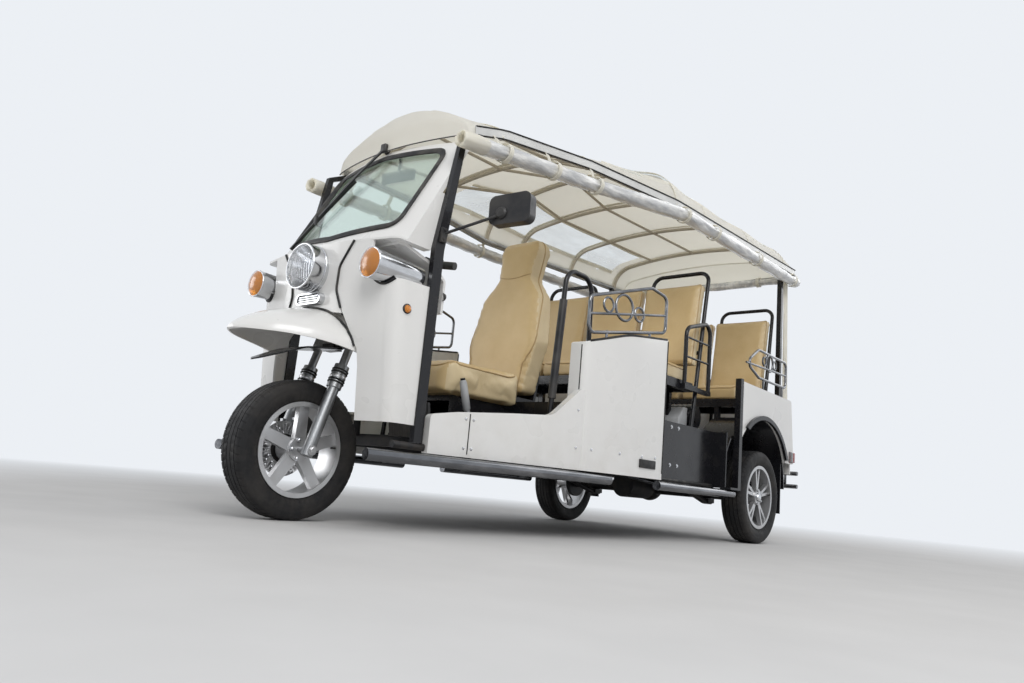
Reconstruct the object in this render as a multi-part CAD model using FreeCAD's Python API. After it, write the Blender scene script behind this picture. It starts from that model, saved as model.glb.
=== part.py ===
# Stretched electric auto rickshaw with a canvas roof, six rear seats and a single front wheel.
# Millimetres. +X is the vehicle's left, -Y is forward, +Z is up.
# Lengths along the vehicle are measured back from the front axle. Only the last step shifts
# everything, so that the origin lies on the ground under the middle of the whole vehicle.
import FreeCAD, Part
import os
from math import cos, radians, sin, sqrt, tan

os.makedirs("parts", exist_ok=True)
V = FreeCAD.Vector

# Driving sizes
WHEELBASE = 2762.0
FRONT_REACH = 340.0
REAR_OVERHANG = 658.0
TYRE_RADIUS = 272.5
TYRE_WIDTH = 140.0
REAR_TRACK_HALF = 693.0
RAKE = 17.0
SEAM = 0.3
REAR_END = WHEELBASE + REAR_OVERHANG
LENGTH = FRONT_REACH + REAR_END

# Wheels
RIM_SEAT = 178.0
RIM_HALF = 59.0
FLANGE_RADIUS = 186.0
FLANGE_THICK = 5.0
BARREL_THICK = 10.0
HUB_RADIUS = 48.0
SPOKE_COUNT = 5
RUNNING_FIT = 0.08
FRONT_PIN_RADIUS = 12.0
STUB_RADIUS = 20.0
DISC_RADIUS = 110.0
DISC_THICK = 4.0
DISC_SIDE = 64.0

# Steering fork
LEG_RADIUS = 24.0
LEG_CLEAR = 12.0
STANCHION_RADIUS = 17.0
COLLAR_RADIUS = 30.0
STEM_RADIUS = 16.0
HEAD_TUBE_WALL = 12.0
LEG_TOP = 275.0
COLLAR_TOP = 362.0
YOKE_LOW = 455.0
YOKE_THICK = 32.0
HEAD_LOW = 500.0
HEAD_HIGH = 640.0
BAR_RADIUS = 12.0
GRIP_RADIUS = 17.0
GRIP_LENGTH = 120.0
LEG_X = TYRE_WIDTH / 2 + LEG_CLEAR + LEG_RADIUS

# Frame and floors
RAIL_X = 300.0
RAIL_SIZE = 40.0
RAIL_TOP = 365.0
RAIL_FRONT = 400.0
RAIL_REAR = REAR_END - 180.0
HITCH_HOLE = 6.5
HITCH_SPACING = 120.0
HORN_RADIUS = 14.0
HORN_HEIGHT = 320.0
FLOOR_THICK = 12.0
FLOOR_FRONT = 330.0
FLOOR_HALF = 560.0
DECK_TOP = 612.0
DECK_FRONT = 1085.0
DECK_REAR = REAR_END - 188.0
DECK_HALF = 650.0
TUB_INNER = 500.0
STEP_FRONT = 1600.0
STEP_REAR = WHEELBASE - 432.0
BATTERY_REAR = STEP_REAR - 80.0
ARCH_POST_FRONT = WHEELBASE - 338.0
ARCH_POST_REAR = ARCH_POST_FRONT + 36.0
CROSS_STATIONS = (RAIL_FRONT, 1100.0, STEP_REAR - 40.0, RAIL_REAR - 40.0)

# Nose and screen
NOSE_SKIN = 10.0
NOSE_TOP = 1100.0
SHIELD_LOW = 398.0
NOSE_LEAN = 60.0
STEM_TOP = (NOSE_TOP - 7.0 - TYRE_RADIUS) / cos(radians(RAKE))
POST_FRONT = 205.0
LEDGE_THICK = 8.0
POST_INNER = 445.0
POST_WIDTH = 24.0
HORN_X = POST_INNER + POST_WIDTH / 2
SCREEN_RADIUS = 1360.0
SCREEN_RAKE = 27.8
SCREEN_BASE_Y = 8.0
SURROUND_THICK = 22.0
GLASS_THICK = 6.0
SCREEN_HEIGHT = 545.0
SCREEN_TOP_Y = SCREEN_BASE_Y + SCREEN_HEIGHT * tan(radians(SCREEN_RAKE))
SURROUND_TOP = NOSE_TOP + SCREEN_HEIGHT
VISOR_TOP = NOSE_TOP - 254.0
VISOR_WALL = 7.0
LAMP_RADIUS = 96.0
LAMP_HEIGHT = NOSE_TOP - LAMP_RADIUS - 4.0
GRILLE_HEIGHT = LAMP_HEIGHT - LAMP_RADIUS - 27.0
TURN_X = 392.0
TURN_RADIUS = 60.0
TURN_HEIGHT = NOSE_TOP - TURN_RADIUS - 61.0
TURN_SEAT = TURN_RADIUS - 2.55

# Roof
CANOPY_THICK = 6.0
ROOF_FRONT = SCREEN_TOP_Y - 33.0
ROOF_KINK = 1690.0
ROOF_REAR = REAR_END - 35.0
RAIL_TUBE = 12.0
BOW_TUBE = 10.0
BOW_GAP = 5.0
PURLIN_RADIUS = 8.0
PURLIN_X = 340.0
ROLL_RADIUS = 44.0
LOOP_RADIUS = 5.0
PILLAR_Y = REAR_END - 240.0
PILLAR_SIZE = 30.0

# Seats
SEAT_GAP = 12.0
BENCH_HALF = 600.0
ROW_PITCH = 980.0
CUSHION_TOP = 950.0
CUSHION_THICK = 85.0
DRIVER_SEAT_LOW = 590.0
DRIVER_REAR = 1236.0
DRIVER_CUSHION_REAR = 1072.0
DRIVER_LEAN = 0.1459
BENCH_FRONT = WHEELBASE - 1017.0
BACK_LOW = CUSHION_TOP + 12.0
BACK_HIGH = BACK_LOW + 524.0
BACK_FRONT = BENCH_FRONT + 397.0
BACK_THICK = 66.0
BACK_LEAN = 0.1546
HOOP_TUBE = 12.0

# Body sides
PANEL_THICK = 14.0
SIDE_X = 765.0
SIDE_THICK = 18.0
ARCH_RADIUS = 392.0
ARCH_HEIGHT = 350.0
TUB_ROOM = 386.0
PANEL_TOP = 925.0
TAIL_LOW = 440.0
RAIL_WIRE = 8.0
SILL_TUBE = 22.0
SILL_SWING = 13.5
SILL_START_X = 488.0
SILL_START_Y = 262.0


def block(x0, x1, y0, y1, z0, z1):
    return Part.makeBox(x1 - x0, y1 - y0, z1 - z0, V(x0, y0, z0))


def rod(start, end, radius):
    along = end - start
    return Part.makeCylinder(radius, along.Length, start, along)


def mirrored(shape):
    return shape.mirror(V(0, 0, 0), V(1, 0, 0))


def both_sides(*shapes):
    """Each shape and its twin on the other side, kept as separate solids."""
    return Part.Compound(list(shapes) + [mirrored(shape) for shape in shapes])


def fuse(shapes):
    return shapes[0].multiFuse(shapes[1:]).removeSplitter()


def corner_arc(before, corner, after, radius):
    """Start, middle and end of the arc that rounds one corner of a path."""
    back = (before - corner).normalize()
    ahead = (after - corner).normalize()
    half = back.getAngle(ahead) / 2
    reach = radius / tan(half)
    middle = (back + ahead).normalize()
    centre = corner + middle * (radius / sin(half))
    return corner + back * reach, centre - middle * radius, corner + ahead * reach


def segment(start, end):
    return Part.LineSegment(start, end).toShape()


def rounded_loop(points, radii):
    """A closed outline whose corner at each point is rounded by its radius."""
    corners = []
    for i, corner in enumerate(points):
        if radii[i] == 0:
            corners.append((corner, None, corner))
        else:
            corners.append(corner_arc(points[i - 1], corner, points[(i + 1) % len(points)], radii[i]))
    edges = []
    for i, (start, middle, end) in enumerate(corners):
        if middle is not None:
            edges.append(Part.Arc(start, middle, end).toShape())
        edges.append(segment(end, corners[(i + 1) % len(corners)][0]))
    return Part.Wire(edges)


def prism(points, radii, along):
    return Part.Face(rounded_loop(points, radii)).extrude(along)


def side_prism(outline, x0, x1):
    """Outline rows are (y, z, corner radius)."""
    points = [V(x0, y, z) for y, z, _ in outline]
    return prism(points, [row[2] for row in outline], V(x1 - x0, 0, 0))


def front_prism(outline, y0, y1):
    """Outline rows are (x, z, corner radius)."""
    points = [V(x, y0, z) for x, z, _ in outline]
    return prism(points, [row[2] for row in outline], V(0, y1 - y0, 0))


def plan_prism(outline, z0, z1):
    """Outline rows are (x, y, corner radius)."""
    points = [V(x, y, z0) for x, y, _ in outline]
    return prism(points, [row[2] for row in outline], V(0, 0, z1 - z0))


def symmetric(half):
    """Rows from the centre line outwards, closed by the same rows mirrored."""
    return half + [(-x, z, radius) for x, z, radius in reversed(half) if x != 0]


def bent_tube(points, bend, radius):
    """A round tube along straight runs joined by arcs of one bend radius."""
    edges = []
    last = points[0]
    for before, corner, after in zip(points, points[1:], points[2:]):
        start, middle, end = corner_arc(before, corner, after, bend)
        edges.append(segment(last, start))
        edges.append(Part.Arc(start, middle, end).toShape())
        last = end
    edges.append(segment(last, points[-1]))
    ring = Part.Wire([Part.makeCircle(radius, points[0], points[1] - points[0])])
    return Part.Wire(edges).makePipeShell([ring], True, False)


def ring_tube(centre, normal, radius, tube):
    return Part.makeTorus(radius, tube, centre, normal)


def arch_crown(half, low, crown, shoulder):
    """Radius and centre height of the wide middle arc of a three-centred arch."""
    rise = crown - low
    big = (half ** 2 - 2 * half * shoulder + rise ** 2) / (2 * (rise - shoulder))
    return big, crown - big


def arch(y, half, low, crown, shoulder):
    """Edges of a three-centred arch in the plane at y, from left spring to right spring."""
    big, centre_z = arch_crown(half, low, crown, shoulder)
    lean = sqrt((half - shoulder) ** 2 + (low - centre_z) ** 2)
    join_x = (half - shoulder) * big / lean
    join_z = centre_z + (low - centre_z) * big / lean
    out_x = half - shoulder
    mid_x = join_x - out_x + shoulder
    mid_z = join_z - low
    size = sqrt(mid_x ** 2 + mid_z ** 2)
    bow_x = out_x + mid_x / size * shoulder
    bow_z = low + mid_z / size * shoulder
    left = Part.Arc(V(-half, y, low), V(-bow_x, y, bow_z), V(-join_x, y, join_z)).toShape()
    top = Part.Arc(V(-join_x, y, join_z), V(0, y, crown), V(join_x, y, join_z)).toShape()
    right = Part.Arc(V(join_x, y, join_z), V(bow_x, y, bow_z), V(half, y, low)).toShape()
    return [left, top, right]


def arch_loft(sections, inset, drop, ruled):
    """Solid through arches; rows are (y, half width, low z, crown z, shoulder radius)."""
    wires = []
    for y, half, low, crown, shoulder in sections:
        edges = arch(y, half - inset, low - drop, crown - inset, shoulder - inset)
        edges.append(segment(V(half - inset, y, low - drop), V(inset - half, y, low - drop)))
        wires.append(Part.Wire(edges))
    return Part.makeLoft(wires, True, ruled)


def save(name, shape):
    placed = shape.copy()
    placed.translate(V(0, FRONT_REACH - LENGTH / 2, 0))
    if not placed.isValid():
        print("INVALID", name)
    placed.exportStep("parts/" + name + ".step")
    box = placed.BoundBox
    print(f"{name:22s} solids {len(placed.Solids):2d}  x {box.XMin:7.1f} {box.XMax:7.1f}"
          f"  y {box.YMin:8.1f} {box.YMax:8.1f}  z {box.ZMin:7.1f} {box.ZMax:7.1f}")


def on_axis(distance):
    """Point on the steering axis, measured up from the front axle."""
    return V(0, distance * sin(radians(RAKE)), TYRE_RADIUS + distance * cos(radians(RAKE)))


def beside_axis(x, distance):
    return on_axis(distance) + V(x, 0, 0)


# Wheels

def tyre(x, y):
    """Closed ring; the profile is drawn as (x, radius) and turned about the axle."""
    half = TYRE_WIDTH / 2
    seat = RIM_SEAT + SEAM
    profile = [(-50, seat, 0), (-53, 190, 0), (-half, 226, 14), (-half + 5, 262, 8),
               (-half + 16, TYRE_RADIUS, 0), (half - 16, TYRE_RADIUS, 0), (half - 5, 262, 8),
               (half, 226, 14), (53, 190, 0), (50, seat, 0)]
    points = [V(px, 0, radius) for px, radius, _ in profile]
    face = Part.Face(rounded_loop(points, [row[2] for row in profile]))
    ring = face.revolve(V(0, 0, 0), V(1, 0, 0), 360)
    ring.translate(V(x, y, TYRE_RADIUS))
    return ring


def rim_barrel():
    inner = RIM_SEAT - BARREL_THICK
    bead = RIM_HALF - FLANGE_THICK
    profile = [V(-RIM_HALF, 0, inner), V(-RIM_HALF, 0, FLANGE_RADIUS), V(-bead, 0, FLANGE_RADIUS),
               V(-bead, 0, RIM_SEAT), V(bead, 0, RIM_SEAT), V(bead, 0, FLANGE_RADIUS),
               V(RIM_HALF, 0, FLANGE_RADIUS), V(RIM_HALF, 0, inner)]
    face = Part.Face(rounded_loop(profile, [0] * len(profile)))
    return face.revolve(V(0, 0, 0), V(1, 0, 0), 360)


def spoke(start_half, end_half, sweep, x0, x1):
    """One flat spoke from the hub to the barrel, its outer end moved sideways by sweep."""
    reach = RIM_SEAT - BARREL_THICK / 2
    outline = [(-start_half, HUB_RADIUS * 0.6, 0), (start_half, HUB_RADIUS * 0.6, 0),
               (sweep + end_half, reach, 0), (sweep - end_half, reach, 0)]
    return side_prism(outline, x0, x1)


def rim(x, y, outward, bore, spoke_rows):
    """Spoke rows are (half width at the hub, half width at the barrel, sideways sweep)."""
    face_x0, face_x1 = 18.0, 44.0
    hub = rod(V(-45, 0, 0), V(50, 0, 0), HUB_RADIUS)
    shapes = [rim_barrel(), hub]
    for number in range(SPOKE_COUNT):
        for start_half, end_half, sweep in spoke_rows:
            bar = spoke(start_half, end_half, sweep, face_x0, face_x1)
            bar.rotate(V(0, 0, 0), V(1, 0, 0), number * 360 / SPOKE_COUNT)
            shapes.append(bar)
    wheel = fuse(shapes).cut(rod(V(-RIM_HALF, 0, 0), V(RIM_HALF, 0, 0), bore))
    if outward < 0:
        wheel = mirrored(wheel)
    wheel.translate(V(x, y, TYRE_RADIUS))
    return wheel


def brake_disc():
    centre = V(-DISC_SIDE, 0, TYRE_RADIUS)
    disc = Part.makeCylinder(DISC_RADIUS, DISC_THICK, centre, V(1, 0, 0))
    hat = Part.makeCylinder(HUB_RADIUS, DISC_SIDE - 45 - SEAM, centre, V(1, 0, 0))
    bore = Part.makeCylinder(FRONT_PIN_RADIUS + 6, DISC_SIDE, centre, V(1, 0, 0))
    return disc.fuse(hat).cut(bore)


# Steering fork

def fork():
    legs = []
    for x in (LEG_X, -LEG_X):
        legs.append(rod(beside_axis(x, -LEG_RADIUS), beside_axis(x, LEG_TOP), LEG_RADIUS))
        legs.append(rod(beside_axis(x, LEG_TOP - 10), beside_axis(x, COLLAR_TOP), COLLAR_RADIUS))
        stanchion_top = beside_axis(x, YOKE_LOW + YOKE_THICK + 6)
        legs.append(rod(beside_axis(x, COLLAR_TOP - 5), stanchion_top, STANCHION_RADIUS))
    lobes = [rod(beside_axis(x, YOKE_LOW), beside_axis(x, YOKE_LOW + YOKE_THICK), STANCHION_RADIUS + 12)
             for x in (LEG_X, 0, -LEG_X)]
    bridge = block(-LEG_X, LEG_X, -22, 22, 0, YOKE_THICK)
    bridge.rotate(V(0, 0, 0), V(1, 0, 0), -RAKE)
    bridge.translate(on_axis(YOKE_LOW))
    stem = rod(on_axis(YOKE_LOW), on_axis(STEM_TOP), STEM_RADIUS)
    pin = rod(V(-LEG_X, 0, TYRE_RADIUS), V(LEG_X, 0, TYRE_RADIUS), FRONT_PIN_RADIUS)
    caliper = block(-LEG_X + 4, -DISC_SIDE + 26, 30, 78, TYRE_RADIUS + 62, TYRE_RADIUS + 128)
    slot = block(-DISC_SIDE - 7, -DISC_SIDE + DISC_THICK + 7, 25, 90, TYRE_RADIUS + 40, TYRE_RADIUS + 118)
    ear = block(-LEG_X - 8, -LEG_X + 10, 0, 60, TYRE_RADIUS + 70, TYRE_RADIUS + 120)
    return fuse(legs + lobes + [bridge, stem, pin, caliper.cut(slot), ear])


def handlebar():
    centre = on_axis(STEM_TOP + BAR_RADIUS + 10)
    clamp = block(-30, 30, -20, 20, 0, 2 * BAR_RADIUS + 20)
    clamp.rotate(V(0, 0, 0), V(1, 0, 0), -RAKE)
    clamp.translate(on_axis(STEM_TOP + SEAM))
    # Columns: sideways, back from the clamp, up from the clamp
    half = [(-360, 170, -15), (-215, 140, 5), (-100, 0, 0)]
    points = [V(x, centre.y + back, centre.z + up) for x, back, up in half]
    points += [V(-p.x, p.y, p.z) for p in reversed(points)]
    bar = bent_tube(points, 60, BAR_RADIUS)
    grip_end = points[0] + (points[1] - points[0]).normalize() * GRIP_LENGTH
    grip = rod(points[0], grip_end, GRIP_RADIUS)
    return fuse([clamp, bar, grip, mirrored(grip)])


def mudguard_blade():
    side = [(-236, 588, 0), (-60, 664, 160), (118, 690, 0), (118, 697, 0), (-62, 671, 160), (-236, 594, 0)]
    plan = symmetric([(0, -238, 0), (40, -215, 20), (84, -100, 60), (80, 119, 0)])
    blade = side_prism(side, -100, 100).common(plan_prism(plan, 560, 720))
    yoke = on_axis(YOKE_LOW)
    slope = tan(radians(RAKE))
    seat = [(y, yoke.z - (y - yoke.y) * slope - 1.1 * SEAM, 0) for y in (yoke.y + 10, 100)]
    pad = side_prism([(100, 688, 0), (yoke.y + 10, 688, 0)] + seat, -40, 40)
    return fuse([blade, pad])


# Frame and floors

def chassis_frame():
    low = RAIL_TOP - RAIL_SIZE
    half = RAIL_SIZE / 2
    shapes = [block(x - half, x + half, RAIL_FRONT, RAIL_REAR, low, RAIL_TOP) for x in (RAIL_X, -RAIL_X)]
    shapes += [block(-RAIL_X, RAIL_X, y, y + RAIL_SIZE, low, RAIL_TOP) for y in CROSS_STATIONS]
    head = rod(on_axis(HEAD_LOW), on_axis(HEAD_HIGH), STEM_RADIUS + HEAD_TUBE_WALL)
    shapes.append(head)
    for side in (1, -1):
        down = [on_axis(HEAD_HIGH - 50), V(side * 60, 330, 720), V(side * 150, 420, 350)]
        shapes.append(bent_tube(down, 90, 16))
        horn = [V(side * (RAIL_X - 5), 420, HORN_HEIGHT + 20), V(side * HORN_X, 420, HORN_HEIGHT),
                V(side * HORN_X, 110, HORN_HEIGHT)]
        shapes.append(bent_tube(horn, 60, HORN_RADIUS))
    frame = fuse(shapes)
    bore = rod(on_axis(HEAD_LOW - 40), on_axis(HEAD_HIGH + 40), STEM_RADIUS + RUNNING_FIT)
    bolts = [rod(V(x, RAIL_REAR - 60, low + half), V(x, RAIL_REAR + 20, low + half), HITCH_HOLE)
             for x in (-HITCH_SPACING / 2, HITCH_SPACING / 2)]
    return frame.cut(bore).cut(bolts[0]).cut(bolts[1])


def sill_tubes():
    """Bright side tubes low on each side, with their arms to the frame rails."""
    arm_start = RAIL_X + RAIL_SIZE / 2 + SEAM
    solids = []
    # Columns: front x, front y, rear x, rear y, arm stations
    rows = [(500, -40, 700, 1200, (470, 1010)),
            (738, STEP_FRONT - 40, 738, WHEELBASE - 352, (STEP_FRONT + 100, STEP_REAR - 60))]
    for x0, y0, x1, y1, stations in rows:
        tube = rod(V(x0, y0, 272), V(x1, y1, 272), SILL_TUBE)
        arms = [rod(V(arm_start - 30, y, 345), V(x0 + (x1 - x0) * (y - y0) / (y1 - y0), y, 272), 11)
                for y in stations]
        arms = [arm.common(block(arm_start, 900, y0, y1, 200, 400)) for arm in arms]
        solids.append(fuse([tube] + arms))
    return both_sides(*solids)


def front_floor():
    base = RAIL_TOP + SEAM
    top = base + FLOOR_THICK
    slope = tan(radians(SILL_SWING))
    edge = SILL_START_X - (12 + SEAM) / cos(radians(SILL_SWING))
    plan = [(edge + (y - SILL_START_Y) * slope, y, 0) for y in (FLOOR_FRONT, DECK_FRONT - SEAM)]
    plan += [(-x, y, 0) for x, y, _ in reversed(plan)]
    plate = plan_prism(plan, base, top)
    panel_room = mid_region(-SEAM, base - 1, top + 1).cut(mid_region(PANEL_THICK + SEAM, base - 2, top + 2))
    panel_room = panel_room.common(block(584, 900, 0, 2000, 0, 1000))
    fork_room = block(-172, 172, FLOOR_FRONT - 1, 450, base, top)
    plate = plate.cut(panel_room).cut(mirrored(panel_room)).cut(fork_room)
    plate = max(plate.Solids, key=lambda piece: piece.Volume)
    toe = side_prism([(302, 500, 0), (314, 500, 0), (342, base, 0), (330, base, 0)], 180, 420)
    return fuse([plate, toe, mirrored(toe)])


def passenger_deck():
    low = DECK_TOP - FLOOR_THICK
    plate = block(-DECK_HALF, DECK_HALF, DECK_FRONT, STEP_REAR, low, DECK_TOP)
    wing = mid_region(PANEL_THICK + SEAM, low, DECK_TOP).common(
        block(600, 900, DECK_FRONT, STEP_FRONT - 16, low, DECK_TOP))
    rear = block(-TUB_INNER + SEAM, TUB_INNER - SEAM, STEP_REAR, DECK_REAR, low, DECK_TOP)
    shelf_x = SIDE_X - SIDE_THICK - SEAM
    shelf = block(-shelf_x, shelf_x, WHEELBASE + 363, DECK_REAR, low, DECK_TOP)
    riser = block(-FLOOR_HALF, FLOOR_HALF, DECK_FRONT, DECK_FRONT + FLOOR_THICK, RAIL_TOP + SEAM, low)
    skirt = block(DECK_HALF - 12, DECK_HALF, STEP_FRONT, STEP_REAR, 305, low)
    wall = block(TUB_INNER, 730, STEP_REAR, STEP_REAR + 12, 300, DECK_TOP)
    wall_arm = block(TUB_INNER - 15, TUB_INNER, STEP_REAR, STEP_REAR + 12, low, DECK_TOP)
    post = block(730, SIDE_X, ARCH_POST_FRONT, ARCH_POST_REAR, 295, PANEL_TOP + 12)
    foot = block(700, SIDE_X, STEP_REAR, ARCH_POST_FRONT + 16, 295, 307)
    side = [wing, skirt, wall, wall_arm, post, foot]
    return fuse([plate, rear, shelf, riser] + side + [mirrored(shape) for shape in side])


def battery_block():
    low = RAIL_TOP + SEAM
    return block(-590, 590, DECK_FRONT + 40, BATTERY_REAR, low, DECK_TOP - FLOOR_THICK - SEAM)


# Nose

def nose_solid():
    """Filled nose in plan, leaning back towards its foot."""
    z = NOSE_TOP
    front = Part.Arc(V(-400, 22, z), V(0, -25, z), V(400, 22, z)).toShape()
    edges = [front, segment(V(468, 300, z), V(-468, 300, z))]
    for side in (1, -1):
        edges.append(Part.Arc(V(side * 400, 22, z), V(side * 441, 40, z), V(side * 458, 82, z)).toShape())
        edges.append(segment(V(side * 458, 82, z), V(side * 468, 300, z)))
    face = Part.Face(Part.Wire(Part.__sortEdges__(edges)))
    return face.extrude(V(0, NOSE_LEAN, SHIELD_LOW - NOSE_TOP))


def ledge_zone():
    """Flat zone under the screen surround, narrow behind the cowl and long beside the posts."""
    low = NOSE_TOP - LEDGE_THICK
    middle = block(-POST_INNER, POST_INNER, -60, 112, low, NOSE_TOP + 1)
    arm = block(404, POST_INNER, 100, POST_FRONT - SEAM, low, NOSE_TOP + 1)
    return fuse([middle, arm, mirrored(arm)])


def nose_skin():
    """Thin skin round the nose, open at the back, with its screen ledge and lamp shelves."""
    outer = nose_solid()
    face = max(outer.Faces, key=lambda item: item.CenterOfMass.z)
    inner = face.OuterWire.makeOffset2D(-NOSE_SKIN)
    hollow = Part.Face(inner).extrude(V(0, NOSE_LEAN, SHIELD_LOW - NOSE_TOP))
    shelf = block(330, 520, -60, 400, TURN_HEIGHT - 52, TURN_HEIGHT - 40)
    room = hollow.cut(ledge_zone()).cut(shelf).cut(mirrored(shelf))
    return outer.cut(room).common(block(-500, 500, -100, POST_FRONT - SEAM, SHIELD_LOW, NOSE_TOP))


def cowl_outline():
    """Half outline of the centre cowl, seen from the front, with its waist under the headlamp."""
    return [(0, VISOR_TOP - 14, 0), (184, VISOR_TOP - 34, 0), (148, LAMP_HEIGHT - 95, 60),
            (160, LAMP_HEIGHT, 60), (236, NOSE_TOP, 0)]


def nose_cowl(skin, visor_room):
    """Centre cowl with the ledge that carries the screen surround."""
    cut = front_prism(symmetric(cowl_outline()), -200, 120)
    cowl = skin.common(fuse([cut, ledge_zone()])).cut(visor_room)
    bowl = rod(V(0, -200, LAMP_HEIGHT), V(0, 60, LAMP_HEIGHT), LAMP_RADIUS - 14)
    return max(cowl.cut(bowl).Solids, key=lambda piece: piece.Volume)


def leg_shields(skin, visor_room):
    outline = [(236.5, NOSE_TOP, 0), (165, LAMP_HEIGHT, 60), (153, LAMP_HEIGHT - 95, 60),
               (190, VISOR_TOP - 30, 0), (278, VISOR_TOP - 178, 0), (286, VISOR_TOP - 246, 0),
               (286, SHIELD_LOW, 0), (520, SHIELD_LOW, 0), (520, NOSE_TOP, 0)]
    shield = skin.common(front_prism(outline, -200, POST_FRONT - SEAM))
    above = block(330, 520, -200, 400, TURN_HEIGHT - 40, NOSE_TOP + 1)
    shield = shield.cut(above).cut(block(100, 520, -200, 400, NOSE_TOP - LEDGE_THICK - SEAM, NOSE_TOP + 1))
    lamp_room = rod(V(TURN_X, -100, TURN_HEIGHT), V(TURN_X, 300, TURN_HEIGHT), TURN_SEAT)
    shield = shield.cut(visor_room).cut(lamp_room)
    return both_sides(max(shield.Solids, key=lambda piece: piece.Volume))


# Rows: station, half width, rim height, crown height, shoulder radius
VISOR_SECTIONS = [(-FRONT_REACH, 22.0, VISOR_TOP - 154, VISOR_TOP - 140, 9.0),
                  (85 - FRONT_REACH, 130.0, VISOR_TOP - 156, VISOR_TOP - 80, 45.0),
                  (-110.0, 215.0, VISOR_TOP - 162, VISOR_TOP - 28, 78.0),
                  (60.0, 268.0, VISOR_TOP - 191, VISOR_TOP, 105.0)]


def front_visor():
    outer = arch_loft(VISOR_SECTIONS, 0, 0, False)
    rows = list(VISOR_SECTIONS)
    rows[0] = (22 - FRONT_REACH, 55.0, VISOR_TOP - 154, VISOR_TOP - 117, 19.0)
    rows[-1] = (rows[-1][0] + 1,) + rows[-1][1:]
    return outer.cut(arch_loft(rows, VISOR_WALL, 3, False))


def screen_band(front_offset, thick, low, high):
    """Slice of the curved, raked screen surface, thick in the direction of travel."""
    slope = tan(radians(SCREEN_RAKE))
    start_y = SCREEN_BASE_Y + (low - NOSE_TOP) * slope + front_offset
    half = 520.0
    edges = []
    ends = []
    for offset in (0.0, thick):
        y = start_y + offset
        sag = SCREEN_RADIUS - sqrt(SCREEN_RADIUS ** 2 - half ** 2)
        left, right = V(-half, y + sag, low), V(half, y + sag, low)
        edges.append(Part.Arc(left, V(0, y, low), right).toShape())
        ends.append((left, right))
    edges.append(segment(ends[0][0], ends[1][0]))
    edges.append(segment(ends[0][1], ends[1][1]))
    face = Part.Face(Part.Wire(Part.__sortEdges__(edges)))
    return face.extrude(V(0, (high - low) * slope, high - low))


def opening_outline(grow):
    return [(0, NOSE_TOP + 48 - grow, 0), (352 + grow, NOSE_TOP + 80 - grow, 55),
            (362 + grow, SURROUND_TOP - 65 + grow, 60), (0, SURROUND_TOP - 39 + grow, 0)]


def screen_surround():
    low = NOSE_TOP + SEAM
    band = screen_band(0, SURROUND_THICK, low, SURROUND_TOP + 20)
    edge = POST_INNER - SEAM
    outline = symmetric([(0, low, 0), (edge, low, 0), (edge, SURROUND_TOP - 25, 50), (0, SURROUND_TOP, 0)])
    frame = band.common(front_prism(outline, -200, 600))
    frame = frame.cut(front_prism(symmetric(opening_outline(0)), -200, 600))
    gusset = side_prism([(92, low, 0), (245, low, 0), (268, NOSE_TOP + 245, 0), (220, NOSE_TOP + 245, 0)],
                        edge - 14, edge)
    return fuse([frame, gusset, mirrored(gusset)])


def windscreen():
    band = screen_band((SURROUND_THICK - GLASS_THICK) / 2, GLASS_THICK, NOSE_TOP + 20, SURROUND_TOP - 5)
    return band.common(front_prism(symmetric(opening_outline(-SEAM)), -200, 600))


def on_nose(shape):
    """Cut a piece so that it sits against the front of the nose."""
    room = nose_solid()
    room.translate(V(0, -SEAM, 0))
    return shape.cut(room)


def lamp_shells():
    """Round headlamp bowl with bezel, and two long turn lamp bodies."""
    axis = V(0, 1, 0)
    bezel = on_nose(Part.makeCylinder(LAMP_RADIUS, 100, V(0, -86, LAMP_HEIGHT), axis))
    bowl = Part.makeCone(LAMP_RADIUS - 16, 40, 100, V(0, -50, LAMP_HEIGHT), axis)
    hollow = Part.makeCone(LAMP_RADIUS - 10, 36, 106, V(0, -87, LAMP_HEIGHT), axis)
    head = bezel.fuse(bowl).cut(hollow)
    mouth = Part.makeCylinder(TURN_RADIUS - 6, 60, V(TURN_X, -46, TURN_HEIGHT), axis)
    turn = Part.makeCone(TURN_RADIUS, TURN_RADIUS - 10, 240, V(TURN_X, -44, TURN_HEIGHT), axis).cut(mouth)
    return Part.Compound([head, turn, mirrored(turn)])


def dome(centre, radius, rise, back):
    """Lens: a shallow ball cap with a short rim behind it, facing forward."""
    big = (radius ** 2 + rise ** 2) / (2 * rise)
    ball = Part.makeSphere(big, centre + V(0, big - rise, 0))
    rim_part = Part.makeCylinder(radius, rise + back, centre + V(0, -rise, 0), V(0, 1, 0))
    return ball.common(rim_part)


def lamp_lenses():
    head = dome(V(0, -86 - SEAM, LAMP_HEIGHT), LAMP_RADIUS - 5, 16, 0)
    turn = dome(V(TURN_X, -44 - SEAM, TURN_HEIGHT), TURN_RADIUS - 3, 20, 0)
    return Part.Compound([head, turn, mirrored(turn)])


def nose_grille():
    """Oval frame with level bars, seated on the cowl under the headlamp."""
    z = GRILLE_HEIGHT
    y0, y1 = -30.0, 30.0
    outer = front_prism(oval(82, 24, z), y0, y1)
    inner = front_prism(oval(73, 17, z), y0, y1)
    bars = [block(-70, 70, y0 + 4, y1, z + level - 2, z + level + 2).common(outer) for level in (-9, 0, 9)]
    back = front_prism(oval(80, 22, z), -12, y1)
    return on_nose(fuse([outer.cut(inner), back] + bars))


def oval(half, rise, z):
    return [(half, z + rise, rise * 0.9), (-half, z + rise, rise * 0.9),
            (-half, z - rise, rise * 0.9), (half, z - rise, rise * 0.9)]


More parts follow.
